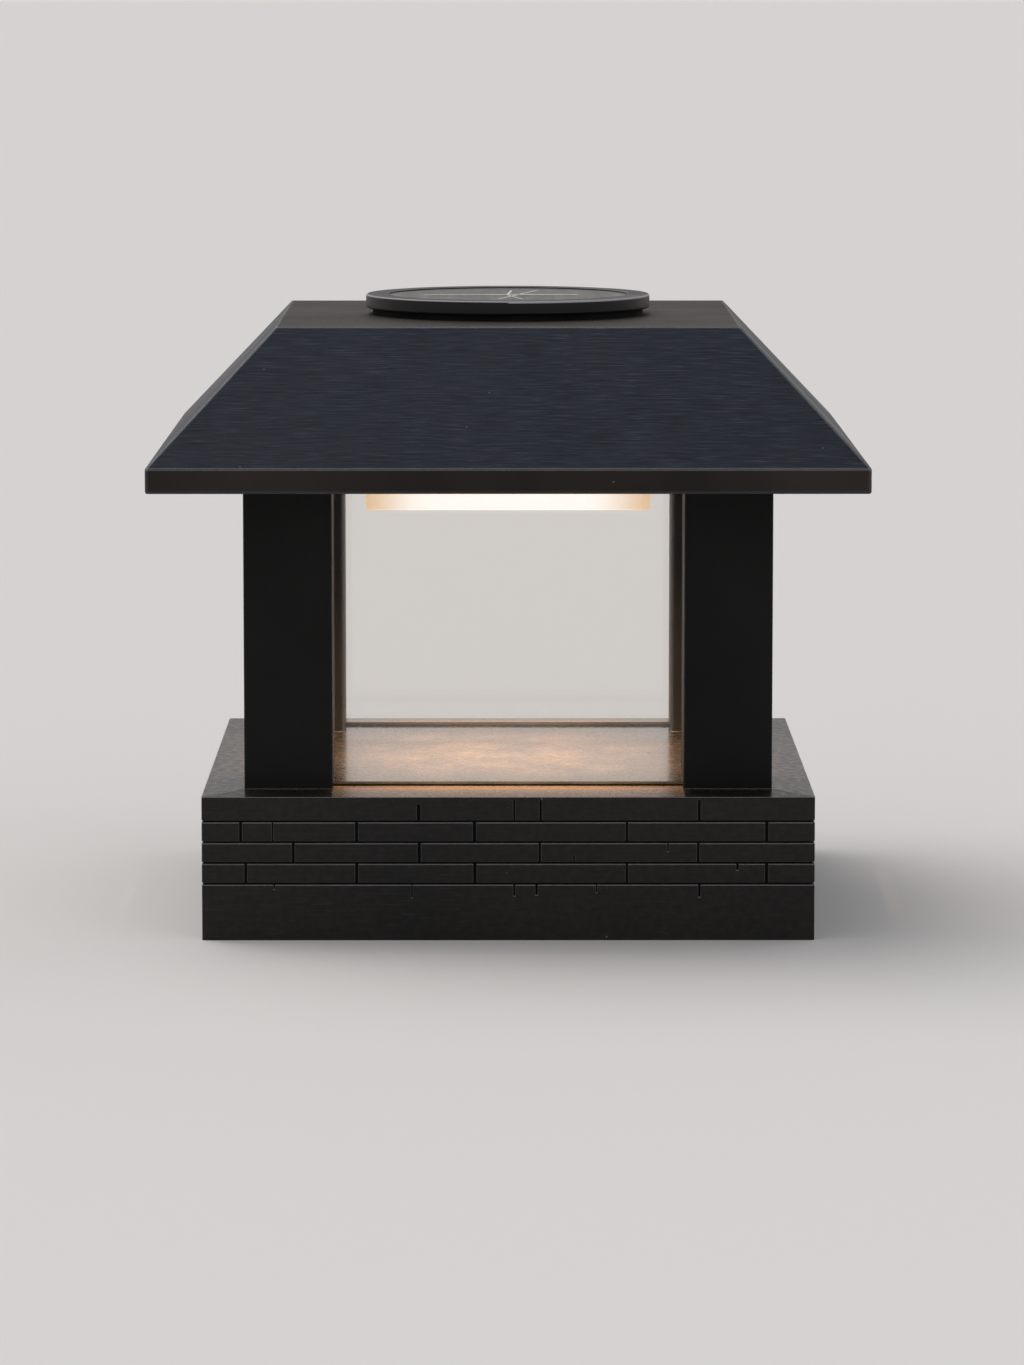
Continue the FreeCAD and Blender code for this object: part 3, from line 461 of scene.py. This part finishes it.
def finish_stone(look):
    """Charcoal moulding: broken tone, small nicks, pale course edges of wear and painted highlight,
    painted shade in the grooves, a painted warm glow on the border and a pebbled border.
    """
    material, tree, shader, _ = new_material("Stone moulding black")
    mottle = use_group(tree, "mottle", Patch_size=28 * MM, Spot_size=1.6 * MM)
    warmth = use_group(tree, "mottle", Patch_size=70 * MM, Spot_size=12 * MM)
    flecks = use_group(tree, "flecks", Spacing=3.6 * MM, Size=0.044, Share=0.30)
    pebble = use_group(tree, "pebble", Pebble_size=0.9 * MM)
    edge = use_group(tree, "edge", Radius=look.edge_radius * 0.95)
    grain = use_group(tree, "grain", Length=6 * MM, Pitch=0.5 * MM)
    level = use_group(tree, "direction")["Level"]
    warm_tone, spot_tone = (0.0240, 0.0195, 0.0160), (0.0035, 0.0033, 0.0031)
    painted_glow_tone, painted_groove_shade = (0.22, 0.134, 0.068), (0.0012, 0.0012, 0.0012)
    x, y, z = parts_of(tree, own_place(tree))
    across, deep = maths(tree, "ABSOLUTE", x), maths(tree, "ABSOLUTE", y)
    # The grooves between the courses lie a little inside the outer faces, below the border; they
    # are darkened as painted shade.
    sunk = maths(tree, "SUBTRACT", SKIRT_HIGH.x, maths(tree, "MAXIMUM", across, deep))
    groove = remap(tree, sunk, 0.05 * MM, 0.25 * MM)
    groove = times(tree, groove, maths(tree, "LESS_THAN", sunk, 1 * MM))
    groove = times(tree, groove, maths(tree, "LESS_THAN", z, SKIRT_HIGH.z - 1.2 * MM))
    # The border between the corner posts, where a warm glow from the diffuser is painted: in full
    # at the front and rear, faint at the sides.
    ends, sides = (
        remap(tree, reach, OPENING_REACH - 0.5 * MM, OPENING_REACH, share, 0.0)
        for reach, share in ((across, 1.0), (deep, 0.08)))
    opening = times(tree, level, maths(tree, "MAXIMUM", ends, sides))
    shell = look.shell_colour
    base = blend_colours(tree, mottle["Patches"], shade(shell, 0.8), shade(shell, 1.5))
    base = layer(tree, base, warmth["Patches"], warm_tone, share=0.6)
    base = layer(tree, base, grain["Streaks"], shade(shell, 2.6), share=0.4)
    base = layer(tree, base, mottle["Spots"], spot_tone, share=0.5)
    base = layer(tree, base, grain["Dashes"], shade(shell, 3.2), share=0.5)
    base = layer(tree, base, flecks["Mask"], look.fleck_colour)
    # Painted light: the diffuser's warm glow on the border between the posts.
    base = layer(tree, base, opening, painted_glow_tone, share=0.8)
    # Painted shade in the grooves.
    base = layer(tree, base, groove, painted_groove_shade, share=0.9)
    # Pale course edges: rubbed wear and a painted highlight where the edges look up.
    base = layer(tree, base, edge["Mask"], look.wear_and_highlight_colour, share=0.85)
    walls = maths(tree, "ADD", times(tree, mottle["Spots"], 0.7), grain["Height"])
    creases = times(tree, pebble["Height"], between(tree, opening, 0.45, 0.12))
    height = blend_values(tree, level, walls, creases)
    wall_rough = between(tree, mottle["Patches"], 0.42, 0.55)
    border_rough = between(tree, mottle["Spots"], 0.24, 0.36)
    rough = blend_values(tree, level, wall_rough, border_rough)
    rough = blend_values(tree, groove, rough, 0.95)
    feed(tree, shader, Base_Color=base, Roughness=rough, Specular_IOR_Level=0.20,
         Coat_Weight=times(tree, opening, 0.30), Coat_Roughness=0.16,
         Normal=bump(tree, height, 0.07 * MM, strength=0.8, normal=edge["Normal"]))
    return material


def finish_post(look):
    """Near-black satin extrusion with faint upright drawing lines and a painted warm highlight
    along its edges.
    """
    material, tree, shader, _ = new_material("Corner post satin")
    mottle = use_group(tree, "mottle", Patch_size=35 * MM, Spot_size=1.2 * MM)
    flecks = use_group(tree, "flecks", Spacing=5 * MM, Size=0.018, Share=0.25)
    edge = use_group(tree, "edge", Radius=look.edge_radius)
    stretched = vector_maths(tree, "MULTIPLY", own_place(tree), (900.0, 900.0, 9.0))
    drawn = noise(tree, stretched, scale=1.0, detail=3.0)[0]
    shell = look.shell_colour
    base = blend_colours(tree, mottle["Patches"], shade(shell, 0.8), shade(shell, 1.3))
    base = layer(tree, base, flecks["Mask"], look.fleck_colour)
    # Painted highlight: warm light along every edge of the post.
    base = layer(tree, base, edge["Rim"], look.rim_highlight_colour, share=0.85)
    rough = remap(tree, maths(tree, "ADD", mottle["Patches"], drawn), 0.0, 2.0, 0.50, 0.62)
    height = maths(tree, "ADD", times(tree, mottle["Spots"], 0.5), drawn)
    feed(tree, shader, Base_Color=base, Roughness=rough, Specular_IOR_Level=0.08,
         Normal=bump(tree, height, 0.02 * MM, strength=0.6, normal=edge["Normal"]))
    return material


def finish_floor(look):
    """Glossy black plate with a creased leather texture, which mirrors what stands behind it."""
    material, tree, shader, _ = new_material("Lantern floor gloss")
    mottle = use_group(tree, "mottle", Patch_size=20 * MM, Spot_size=2 * MM)
    pebble = use_group(tree, "pebble", Pebble_size=1.3 * MM)
    dust = use_group(tree, "dust", Amount=0.03)
    edge = use_group(tree, "edge", Radius=look.edge_radius)
    dark, warm, dust_tone = (0.0035, 0.0024, 0.0015), (0.0080, 0.0054, 0.0032), (0.36, 0.28, 0.20)
    base = blend_colours(tree, mottle["Patches"], dark, warm)
    base = layer(tree, base, dust["Mask"], dust_tone)
    feed(tree, shader, Base_Color=base, Roughness=between(tree, mottle["Spots"], 0.20, 0.32),
         Specular_IOR_Level=0.5, Coat_Weight=0.65, Coat_Roughness=0.13,
         Normal=bump(tree, pebble["Height"], 0.04 * MM, strength=0.6, normal=edge["Normal"]))
    return material


def finish_satin_plastic(name, tone, roughness, look, specular=0.4, wear_and_highlight_share=0.12):
    """Moulded plastic with a fine spark-eroded skin, paler along its upper edges and roundings:
    rubbed wear and a painted highlight.
    """
    material, tree, shader, _ = new_material(name)
    mottle = use_group(tree, "mottle", Patch_size=16 * MM, Spot_size=0.6 * MM)
    flecks = use_group(tree, "flecks", Spacing=5 * MM, Size=0.016, Share=0.2)
    edge = use_group(tree, "edge", Radius=look.edge_radius)
    base = blend_colours(tree, mottle["Patches"], tone, shade(tone, 1.5))
    base = layer(tree, base, flecks["Mask"], look.fleck_colour)
    # Painted highlight: a modelled rounding that looks up without being level is made paler too.
    up = upright_part(tree)
    rounding = times(tree, remap(tree, up, 0.30, 0.45), remap(tree, up, 0.93, 0.99, 1.0, 0.0))
    worn_and_lit = maths(tree, "MAXIMUM", edge["Mask"], rounding)
    base = layer(tree, base, worn_and_lit, look.wear_and_highlight_colour, share=wear_and_highlight_share)
    rough = between(tree, mottle["Patches"], roughness - 0.05, roughness + 0.06)
    feed(tree, shader, Base_Color=base, Roughness=rough, Specular_IOR_Level=specular,
         Normal=bump(tree, mottle["Spots"], 0.015 * MM, strength=0.8, normal=edge["Normal"]))
    return material


def finish_rubber(look):
    """Dull black rubber with a chalky bloom."""
    material, tree, shader, _ = new_material("Seal rubber")
    mottle = use_group(tree, "mottle", Patch_size=10 * MM, Spot_size=0.5 * MM)
    rubber = look.rubber_colour
    base = blend_colours(tree, mottle["Patches"], rubber, shade(rubber, 2.4))
    feed(tree, shader, Base_Color=base, Roughness=between(tree, mottle["Spots"], 0.72, 0.88),
         Specular_IOR_Level=0.05, Normal=bump(tree, mottle["Spots"], 0.03 * MM))
    return material


def let_through(tree, shader, output, share, tint):
    """Swaps a share of a material for tinted clear, so that light and sight pass it."""
    clear = put(tree, "ShaderNodeBsdfTransparent", {"Color": (*tint, 1.0)})
    mixed = put(tree, "ShaderNodeMixShader", {0: share, 1: shader.outputs[0], 2: clear.outputs[0]})
    tree.links.new(mixed.outputs[0], output.inputs["Surface"])


def finish_glass():
    """Clear coated glass that lets the lamps through, with faint wiping smears."""
    material, tree, shader, output = new_material("Pane glass")
    tint = (0.986, 0.980, 0.972)
    mottle = use_group(tree, "mottle", Patch_size=30 * MM, Spot_size=6 * MM)
    smears = remap(tree, mottle["Patches"], 0.55, 1.0, 0.0, 0.03)
    feed(tree, shader, Base_Color=tint, Roughness=smears, IOR=1.48, Specular_IOR_Level=0.12,
         Transmission_Weight=1.0)
    path = put(tree, "ShaderNodeLightPath").outputs
    passes = maths(tree, "MAXIMUM", path["Is Shadow Ray"], path["Is Diffuse Ray"])
    # What is seen through the pane is nearly all clear, which keeps its mirroring faint.
    passes = maths(tree, "MAXIMUM", passes, 0.94)
    let_through(tree, shader, output, passes, tint)
    return material


def finish_window():
    """Satin resin cover over the cell, faintly banded."""
    material, tree, shader, output = new_material("Cell cover")
    stretched = vector_maths(tree, "MULTIPLY", own_place(tree), (420.0, 30.0, 1.0))
    bands = noise(tree, stretched, scale=1.0, detail=3.0)[0]
    feed(tree, shader, Base_Color=(0.78, 0.70, 0.62), IOR=1.42, Transmission_Weight=0.92,
         Roughness=remap(tree, bands, 0.3, 0.7, 0.40, 0.52), Specular_IOR_Level=0.35)
    passes = put(tree, "ShaderNodeLightPath").outputs["Is Shadow Ray"]
    let_through(tree, shader, output, passes, (0.85, 0.83, 0.80))
    return material


def finish_diffuser(glow):
    """Frosted cover that glows white under the lamps and peach towards its corners."""
    material, tree, shader, _ = new_material("Diffuser glow")
    mottle = use_group(tree, "mottle", Patch_size=12 * MM, Spot_size=0.7 * MM)
    centred = put(tree, "ShaderNodeMapping", {
        "Vector": own_place(tree), "Location": tuple(-DIFFUSER_MIDDLE)}).outputs[0]
    across, deep = (maths(tree, "ABSOLUTE", part) for part in parts_of(tree, centred)[:2])
    nearer = maths(tree, "MINIMUM", across, deep)
    corner = maths(tree, "DIVIDE", nearer, DIFFUSER_WIDTH / 2)
    falls = put(tree, "ShaderNodeMapRange", {"Value": corner, "From Min": 0.5, "From Max": 0.97},
                interpolation_type="SMOOTHSTEP").outputs[0]
    falls = maths(tree, "ADD", falls, times(tree, mottle["Spots"], 0.04))
    tone = blend_colours(tree, falls, glow.glow_middle, glow.glow_edge)
    feed(tree, shader, Base_Color=(0.24, 0.21, 0.17),
         Roughness=between(tree, mottle["Spots"], 0.5, 0.65),
         Emission_Color=tone, Emission_Strength=glow.glow_strength,
         Normal=bump(tree, mottle["Spots"], 0.03 * MM))
    return material


def finish_reflector(look):
    """Glossy white moulding inside the roof."""
    material, tree, shader, _ = new_material("Reflector white")
    mottle = use_group(tree, "mottle", Patch_size=20 * MM, Spot_size=0.8 * MM)
    white = look.reflector_colour
    base = blend_colours(tree, mottle["Patches"], white, shade(white, 0.93))
    feed(tree, shader, Base_Color=base, Roughness=between(tree, mottle["Spots"], 0.22, 0.34),
         Normal=bump(tree, mottle["Spots"], 0.01 * MM))
    return material


def finish_cell(look):
    """Dark silicon with fine printed fingers and a slight shift of tone between its grains."""
    material, tree, shader, _ = new_material("Cell silicon")
    finger_pitch, finger_share = 1.8 * MM, 0.06
    place = own_place(tree)
    grains = put(tree, "ShaderNodeTexVoronoi", {"Vector": place, "Scale": 160.0}).outputs["Color"]
    lot = put(tree, "ShaderNodeSeparateColor", {0: grains}).outputs[0]
    base = blend_colours(tree, lot, look.cell_colour, shade(look.cell_colour, 1.5))
    beat = maths(tree, "FRACT", maths(tree, "DIVIDE", parts_of(tree, place)[0], finger_pitch))
    finger = maths(tree, "LESS_THAN", beat, finger_share)
    base = layer(tree, base, finger, look.busbar_colour, share=0.16)
    feed(tree, shader, Base_Color=base, Roughness=between(tree, lot, 0.25, 0.38),
         Normal=bump(tree, finger, 0.01 * MM))
    return material


def finish_metal(name, tone, roughness):
    """Plated metal with a fine tooth and duller patches."""
    material, tree, shader, _ = new_material(name)
    mottle = use_group(tree, "mottle", Patch_size=4 * MM, Spot_size=0.6 * MM)
    base = blend_colours(tree, mottle["Patches"], tone, shade(tone, 0.72))
    rough = between(tree, mottle["Patches"], roughness - 0.06, roughness + 0.10)
    feed(tree, shader, Base_Color=base, Roughness=rough, Metallic=1.0,
         Normal=bump(tree, mottle["Spots"], 0.01 * MM))
    return material


def finish_board(look):
    """Solder mask with copper tracks showing faintly under it."""
    material, tree, shader, _ = new_material("Board solder mask")
    mottle = use_group(tree, "mottle", Patch_size=10 * MM, Spot_size=0.6 * MM)
    tracks = put(tree, "ShaderNodeTexBrick", {
        "Vector": own_place(tree), "Scale": 230.0, "Mortar Size": 0.05, "Mortar Smooth": 0.1,
    }).outputs["Fac"]
    mask = look.board_colour
    base = layer(tree, mask, tracks, shade(mask, 2.2), share=0.7)
    feed(tree, shader, Base_Color=base, Roughness=between(tree, mottle["Spots"], 0.28, 0.40),
         Normal=bump(tree, tracks, 0.03 * MM))
    return material


def finish_lamp():
    """Warm lit resin of the lamps."""
    material, tree, shader, _ = new_material("Lamp resin")
    mottle = use_group(tree, "mottle", Patch_size=2 * MM, Spot_size=0.5 * MM)
    amber, cream = (0.85, 0.72, 0.40), (0.92, 0.85, 0.62)
    base = blend_colours(tree, mottle["Patches"], amber, cream)
    feed(tree, shader, Base_Color=base, Roughness=between(tree, mottle["Spots"], 0.10, 0.18),
         Emission_Color=base, Emission_Strength=2.0)
    return material


# --- Shaping new pieces ---
def object_from(name, work, material, body):
    """A mesh object from a bmesh, riding on a body, with its faces pointing out."""
    bmesh.ops.remove_doubles(work, verts=work.verts, dist=1e-7)
    bmesh.ops.recalc_face_normals(work, faces=work.faces)
    mesh = bpy.data.meshes.new(name)
    work.to_mesh(mesh)
    work.free()
    mesh.materials.append(material)
    piece = bpy.data.objects.new(name, mesh)
    bpy.context.scene.collection.objects.link(piece)
    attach(piece, body)
    return piece


def spun(profile, centre, axis):
    """A closed solid turned from (radius, distance along the axis) corners about an axis."""
    work = bmesh.new()
    turn = Vector((0, 0, 1)).rotation_difference(Vector(axis)).to_matrix().to_4x4()
    place = Matrix.Translation(centre) @ turn
    verts = [work.verts.new(place @ Vector((radius, 0, along))) for radius, along in profile]
    edges = [work.edges.new(pair) for pair in zip(verts, verts[1:])]
    bmesh.ops.spin(work, geom=verts + edges, cent=centre, axis=axis, angle=2 * math.pi,
                   steps=96, use_merge=True)
    return work


def add_strip(work, start, end, top, width, stand):
    """Adds a flat strip from start to end that stands on a level surface."""
    along = Vector(end) - Vector(start)
    middle = (Vector(start) + Vector(end)) / 2
    place = Matrix.Translation((*middle, top + stand / 2))
    turn = Matrix.Rotation(math.atan2(along.y, along.x), 4, "Z")
    size = Matrix.Diagonal((along.length, width, stand, 1.0))
    bmesh.ops.create_cube(work, size=1.0, matrix=place @ turn @ size)


def dress(material, *names):
    """Gives CAD nodes a finish."""
    for name in names:
        for slot in NODES[name].material_slots:
            slot.material = material


class CAPLIGHT_OT_skirt(bpy.types.Operator):
    """Finish the skirt and its stone relief"""

    bl_idname = "caplight.skirt"
    bl_label = "Skirt"

    def execute(self, context):
        dress(finish_stone(context.scene.caplight_finish), "base_skirt")
        return {"FINISHED"}


class CAPLIGHT_OT_roof(bpy.types.Operator):
    """Finish the roof and the ceiling under it"""

    bl_idname = "caplight.roof"
    bl_label = "Roof"

    def execute(self, context):
        look = context.scene.caplight_finish
        dress(finish_roof(look), "roof_shell")
        ceiling = finish_satin_plastic("Ceiling black", (0.012, 0.0115, 0.011), 0.5, look)
        dress(ceiling, "ceiling_plate")
        return {"FINISHED"}


class CAPLIGHT_OT_corner_posts(bpy.types.Operator):
    """Finish the four corner posts"""

    bl_idname = "caplight.corner_posts"
    bl_label = "Corner Posts"

    def execute(self, context):
        posts = [name for name in NODES if name.startswith("corner_post_")]
        dress(finish_post(context.scene.caplight_finish), *posts)
        return {"FINISHED"}


class CAPLIGHT_OT_panes(bpy.types.Operator):
    """Finish the panes and the rubber seals"""

    bl_idname = "caplight.panes"
    bl_label = "Panes and Seals"

    def execute(self, context):
        panes = [name for name in NODES if name.startswith("window_pane_")]
        dress(finish_glass(), *panes)
        dress(finish_rubber(context.scene.caplight_finish),
              "pane_seals_lower", "pane_seals_upper", "module_seal", "plug_ring")
        return {"FINISHED"}


class CAPLIGHT_OT_lantern_floor(bpy.types.Operator):
    """Finish the floor of the lantern"""

    bl_idname = "caplight.lantern_floor"
    bl_label = "Lantern Floor"

    def execute(self, context):
        dress(finish_floor(context.scene.caplight_finish), "lantern_floor")
        return {"FINISHED"}


class CAPLIGHT_OT_glow(bpy.types.Operator):
    """Finish the diffuser, the light well and the lamps, and add the light that they spill"""

    bl_idname = "caplight.glow"
    bl_label = "Diffuser and Glow"

    def execute(self, context):
        glow = context.scene.caplight_glow
        dress(finish_diffuser(glow), "diffuser")
        dress(finish_reflector(context.scene.caplight_finish), "light_well")
        dress(finish_lamp(), "lamps")
        self.spill(context.scene, glow)
        return {"FINISHED"}

    def spill(self, scene, glow):
        """A square lamp just under the diffuser that shines straight down."""
        data = bpy.data.lights.new("diffuser_spill", "AREA")
        data.shape = "RECTANGLE"
        data.size = data.size_y = DIFFUSER_WIDTH * 0.92
        data.energy = glow.spill_power
        data.color = glow.spill_colour
        data.spread = glow.spill_spread
        light = bpy.data.objects.new("diffuser_spill", data)
        light.location = (DIFFUSER_MIDDLE.x, DIFFUSER_MIDDLE.y, DIFFUSER_LOW.z - 1 * MM)
        light.visible_camera = False
        scene.collection.objects.link(light)


class CAPLIGHT_OT_solar_top(bpy.types.Operator):
    """Finish the bezel, the window and the cell, and add the printed lines on them"""

    bl_idname = "caplight.solar_top"
    bl_label = "Solar Top"

    def execute(self, context):
        look = context.scene.caplight_finish
        # The bezel's pale upper edges are mostly a painted highlight, at full share.
        bezel = finish_satin_plastic(
            "Bezel satin", (0.0170, 0.0165, 0.0163), 0.44, look, specular=0.2, wear_and_highlight_share=1.0)
        dress(bezel, "module_bezel")
        dress(finish_window(), "cell_window")
        dress(finish_cell(look), "solar_cell")
        dress(finish_board(look), "cell_board", "control_board")
        self.busbars(finish_metal("Printed silver", tuple(look.busbar_colour), 0.45))
        self.hairlines(finish_satin_plastic("Hairline print", (0.68, 0.66, 0.63), 0.6, look))
        return {"FINISHED"}

    def busbars(self, silver):
        """Three level lines on the cell that end on a circle."""
        circle, width, stand = 26 * MM, 0.8 * MM, 0.04 * MM
        work = bmesh.new()
        for y in (-12 * MM, 1.5 * MM, 15 * MM):
            reach = math.sqrt(circle ** 2 - y ** 2)
            add_strip(work, (-reach, y), (reach, y), CELL_TOP, width, stand)
        object_from("cell_busbars", work, silver, "solar_module")

    def hairlines(self, pale):
        """Fine lines on the window, from their ends and widths in millimetres."""
        work = bmesh.new()
        for start, end, width in (
                ((-19.1, 0.8), (16.1, 0.8), 1.3), ((7.0, 19.0), (-2.1, -18.0), 0.45),
                ((0.9, 17.0), (-0.1, -1.0), 0.45), ((-0.1, -1.0), (3.4, -19.0), 0.4)):
            add_strip(work, Vector(start) * MM, Vector(end) * MM, WINDOW_TOP, width * MM, 0.03 * MM)
        object_from("window_hairlines", work, pale, "solar_module")


class CAPLIGHT_OT_module_case(bpy.types.Operator):
    """Finish the plug, its base, the battery door, the switch and the black parts on the board"""

    bl_idname = "caplight.module_case"
    bl_label = "Module Case"

    def execute(self, context):
        look = context.scene.caplight_finish
        dress(finish_satin_plastic("Module black", (0.013, 0.013, 0.0135), 0.46, look),
              "module_body", "module_base", "battery_door", "switch_body")
        dress(finish_satin_plastic("Switch black", (0.03, 0.03, 0.031), 0.38, look),
              "switch_slider", "driver_chip", "capacitor")
        return {"FINISHED"}


class CAPLIGHT_OT_battery(bpy.types.Operator):
    """Shape the battery and finish its contacts, the leads and the coil"""

    bl_idname = "caplight.battery"
    bl_label = "Battery"

    def execute(self, context):
        look = context.scene.caplight_finish
        nickel = finish_metal("Contact nickel", (0.62, 0.59, 0.53), 0.28)
        dress(nickel, "battery_contact_positive", "battery_contact_negative")
        dress(finish_satin_plastic("Lead insulation", tuple(look.lead_colour), 0.45, look),
              "cell_leads", "battery_leads")
        dress(finish_metal("Coil copper", (0.60, 0.26, 0.13), 0.35), "boost_coil")
        sleeve = finish_satin_plastic("Battery sleeve", tuple(look.sleeve_colour), 0.30, look)
        dress(sleeve, "battery")
        self.cell(nickel, sleeve)
        return {"FINISHED"}

    def cell(self, metal, sleeve):
        """The cell's can with its nub, and the shrink sleeve round the can."""
        radius = (BATTERY_HIGH.z - BATTERY_LOW.z) / 2
        length = BATTERY_HIGH.x - BATTERY_LOW.x
        centre = (BATTERY_LOW + BATTERY_HIGH) / 2
        centre.x = BATTERY_LOW.x
        can_radius = radius - 0.18 * MM
        nub_radius = 1.9 * MM
        shoulder = length - 0.8 * MM
        can = [
            (0, 0), (radius - 1.1 * MM, 0), (can_radius - 0.2 * MM, 0.25 * MM),
            (can_radius, 0.8 * MM), (can_radius, shoulder - 1.0 * MM),
            (can_radius - 0.5 * MM, shoulder - 0.35 * MM),
            (radius - 1.5 * MM, shoulder - 0.35 * MM), (nub_radius, shoulder - 0.6 * MM),
            (nub_radius, length - 0.15 * MM), (nub_radius - 0.15 * MM, length), (0, length)]
        skin = [
            (radius - 1.2 * MM, 0.30 * MM), (radius - 0.3 * MM, 0.12 * MM), (radius, 0.5 * MM),
            (radius, shoulder - 0.7 * MM), (radius - 0.3 * MM, shoulder - 0.2 * MM),
            (radius - 1.4 * MM, shoulder - 0.1 * MM), (radius - 1.4 * MM, shoulder - 0.3 * MM),
            (can_radius, shoulder - 0.9 * MM), (can_radius, 0.7 * MM)]
        axis = (1, 0, 0)
        parts = object_from(
            "battery_can", spun(can, centre, axis), metal, "solar_module")
        wrap = object_from(
            "battery_sleeve", spun(skin + skin[:1], centre, axis), sleeve, "solar_module")
        for piece in (parts, wrap):
            piece.data.shade_smooth()
            piece.data.set_sharp_from_angle(angle=math.radians(35))
        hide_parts("battery")


class CAPLIGHT_OT_fixings(bpy.types.Operator):
    """Finish the screws and the hinge pin"""

    bl_idname = "caplight.fixings"
    bl_label = "Fixings"

    def execute(self, context):
        look = context.scene.caplight_finish
        dress(finish_metal("Zinc plate", (0.52, 0.51, 0.47), 0.32), "post_screws_lower",
              "post_screws_upper", "well_screws", "module_screws", "door_hinge_pin")
        dress(finish_satin_plastic("Screw black", (0.02, 0.02, 0.02), 0.35, look), "ceiling_screws")
        return {"FINISHED"}


class CAPLIGHT_OT_stage(bpy.types.Operator):
    """Set the pale floor and backdrop, the lamp and the camera"""

    bl_idname = "caplight.stage"
    bl_label = "Stage"

    def execute(self, context):
        scene, stage = context.scene, context.scene.caplight_stage
        self.floor(scene, stage)
        self.lamp(scene, stage)
        self.sky(scene, stage)
        self.camera(scene, stage)
        scene.view_settings.view_transform = "Standard"
        return {"FINISHED"}

    def floor(self, scene, stage):
        """A wide round floor."""
        work = bmesh.new()
        bmesh.ops.create_circle(
            work, cap_ends=True, cap_tris=True, segments=96, radius=stage.floor_radius)
        mesh = bpy.data.meshes.new("stage_floor")
        work.to_mesh(mesh)
        work.free()
        floor = bpy.data.objects.new("stage_floor", mesh)
        scene.collection.objects.link(floor)
        material, tree, shader, _ = new_material("Stage paper")
        cloud = noise(tree, own_place(tree), scale=300.0, detail=3.0)[0]
        pale = tuple(stage.floor_colour)
        tone = blend_colours(tree, cloud, shade(pale, 0.985), pale)
        feed(tree, shader, Base_Color=tone, Roughness=0.9, Specular_IOR_Level=0.1)
        mesh.materials.append(material)

    def lamp(self, scene, stage):
        """One broad lamp behind, above and to the left."""
        shines_along = Vector((0.42, -0.30, -0.86))
        data = bpy.data.lights.new("broad_lamp", "SUN")
        data.energy = stage.lamp_strength
        data.color = (1.0, 0.985, 0.96)
        data.angle = stage.lamp_spread
        light = bpy.data.objects.new("broad_lamp", data)
        light.rotation_mode = "QUATERNION"
        light.rotation_quaternion = shines_along.to_track_quat("-Z", "Y")
        scene.collection.objects.link(light)

    def sky(self, scene, stage):
        """Soft light from all round that dims overhead."""
        world = bpy.data.worlds.new("Studio")
        world.use_nodes = True
        tree = world.node_tree
        direction = put(tree, "ShaderNodeTexCoord").outputs["Generated"]
        climb = remap(tree, parts_of(tree, direction)[2], 0.05, 1.0)
        tone = blend_colours(tree, climb, stage.horizon_colour, stage.zenith_colour)
        feed(tree, tree.nodes["Background"], Color=tone, Strength=1.0)
        scene.world = world

    def camera(self, scene, stage):
        """The camera, at the photograph's height, distance and tilt."""
        data = bpy.data.cameras.new("camera")
        data.lens = stage.camera_lens
        data.sensor_width = 36.0
        data.clip_start, data.clip_end = 0.05, 50.0
        camera = bpy.data.objects.new("camera", data)
        camera.location = (stage.camera_side, -stage.camera_distance, stage.camera_height)
        camera.rotation_euler = (math.pi / 2 - stage.camera_pitch, 0.0, -stage.camera_yaw)
        scene.collection.objects.link(camera)
        scene.camera = camera


PIECES = (
    CAPLIGHT_OT_skirt,
    CAPLIGHT_OT_roof,
    CAPLIGHT_OT_corner_posts,
    CAPLIGHT_OT_panes,
    CAPLIGHT_OT_lantern_floor,
    CAPLIGHT_OT_glow,
    CAPLIGHT_OT_solar_top,
    CAPLIGHT_OT_module_case,
    CAPLIGHT_OT_battery,
    CAPLIGHT_OT_fixings,
)
SETTINGS = {
    "caplight_finish": CapLightFinish,
    "caplight_glow": CapLightGlow,
    "caplight_stage": CapLightStage,
}


class CAPLIGHT_PT_panel(bpy.types.Panel):
    """Sidebar panel that lists the sizes, the colours and the pieces"""

    bl_idname = "CAPLIGHT_PT_panel"
    bl_label = "Cap Light"
    bl_space_type = "VIEW_3D"
    bl_region_type = "UI"
    bl_category = "Cap Light"

    def draw(self, context):
        layout = self.layout
        for settings, kind in SETTINGS.items():
            box = layout.box()
            for name in kind.__annotations__:
                box.prop(getattr(context.scene, settings), name)
        for operator in (*PIECES, CAPLIGHT_OT_stage):
            layout.operator(operator.bl_idname)


CLASSES = (*SETTINGS.values(), *PIECES, CAPLIGHT_OT_stage, CAPLIGHT_PT_panel)


def register():
    for kind in CLASSES:
        bpy.utils.register_class(kind)
    for settings, kind in SETTINGS.items():
        setattr(bpy.types.Scene, settings, PointerProperty(type=kind))


def unregister():
    for settings in SETTINGS:
        delattr(bpy.types.Scene, settings)
    for kind in reversed(CLASSES):
        bpy.utils.unregister_class(kind)


def main():
    register()
    make_groups()
    for operator in (CAPLIGHT_OT_stage, *PIECES):
        group, name = operator.bl_idname.split(".")
        getattr(getattr(bpy.ops, group), name)()


if __name__ == "__main__":
    main()
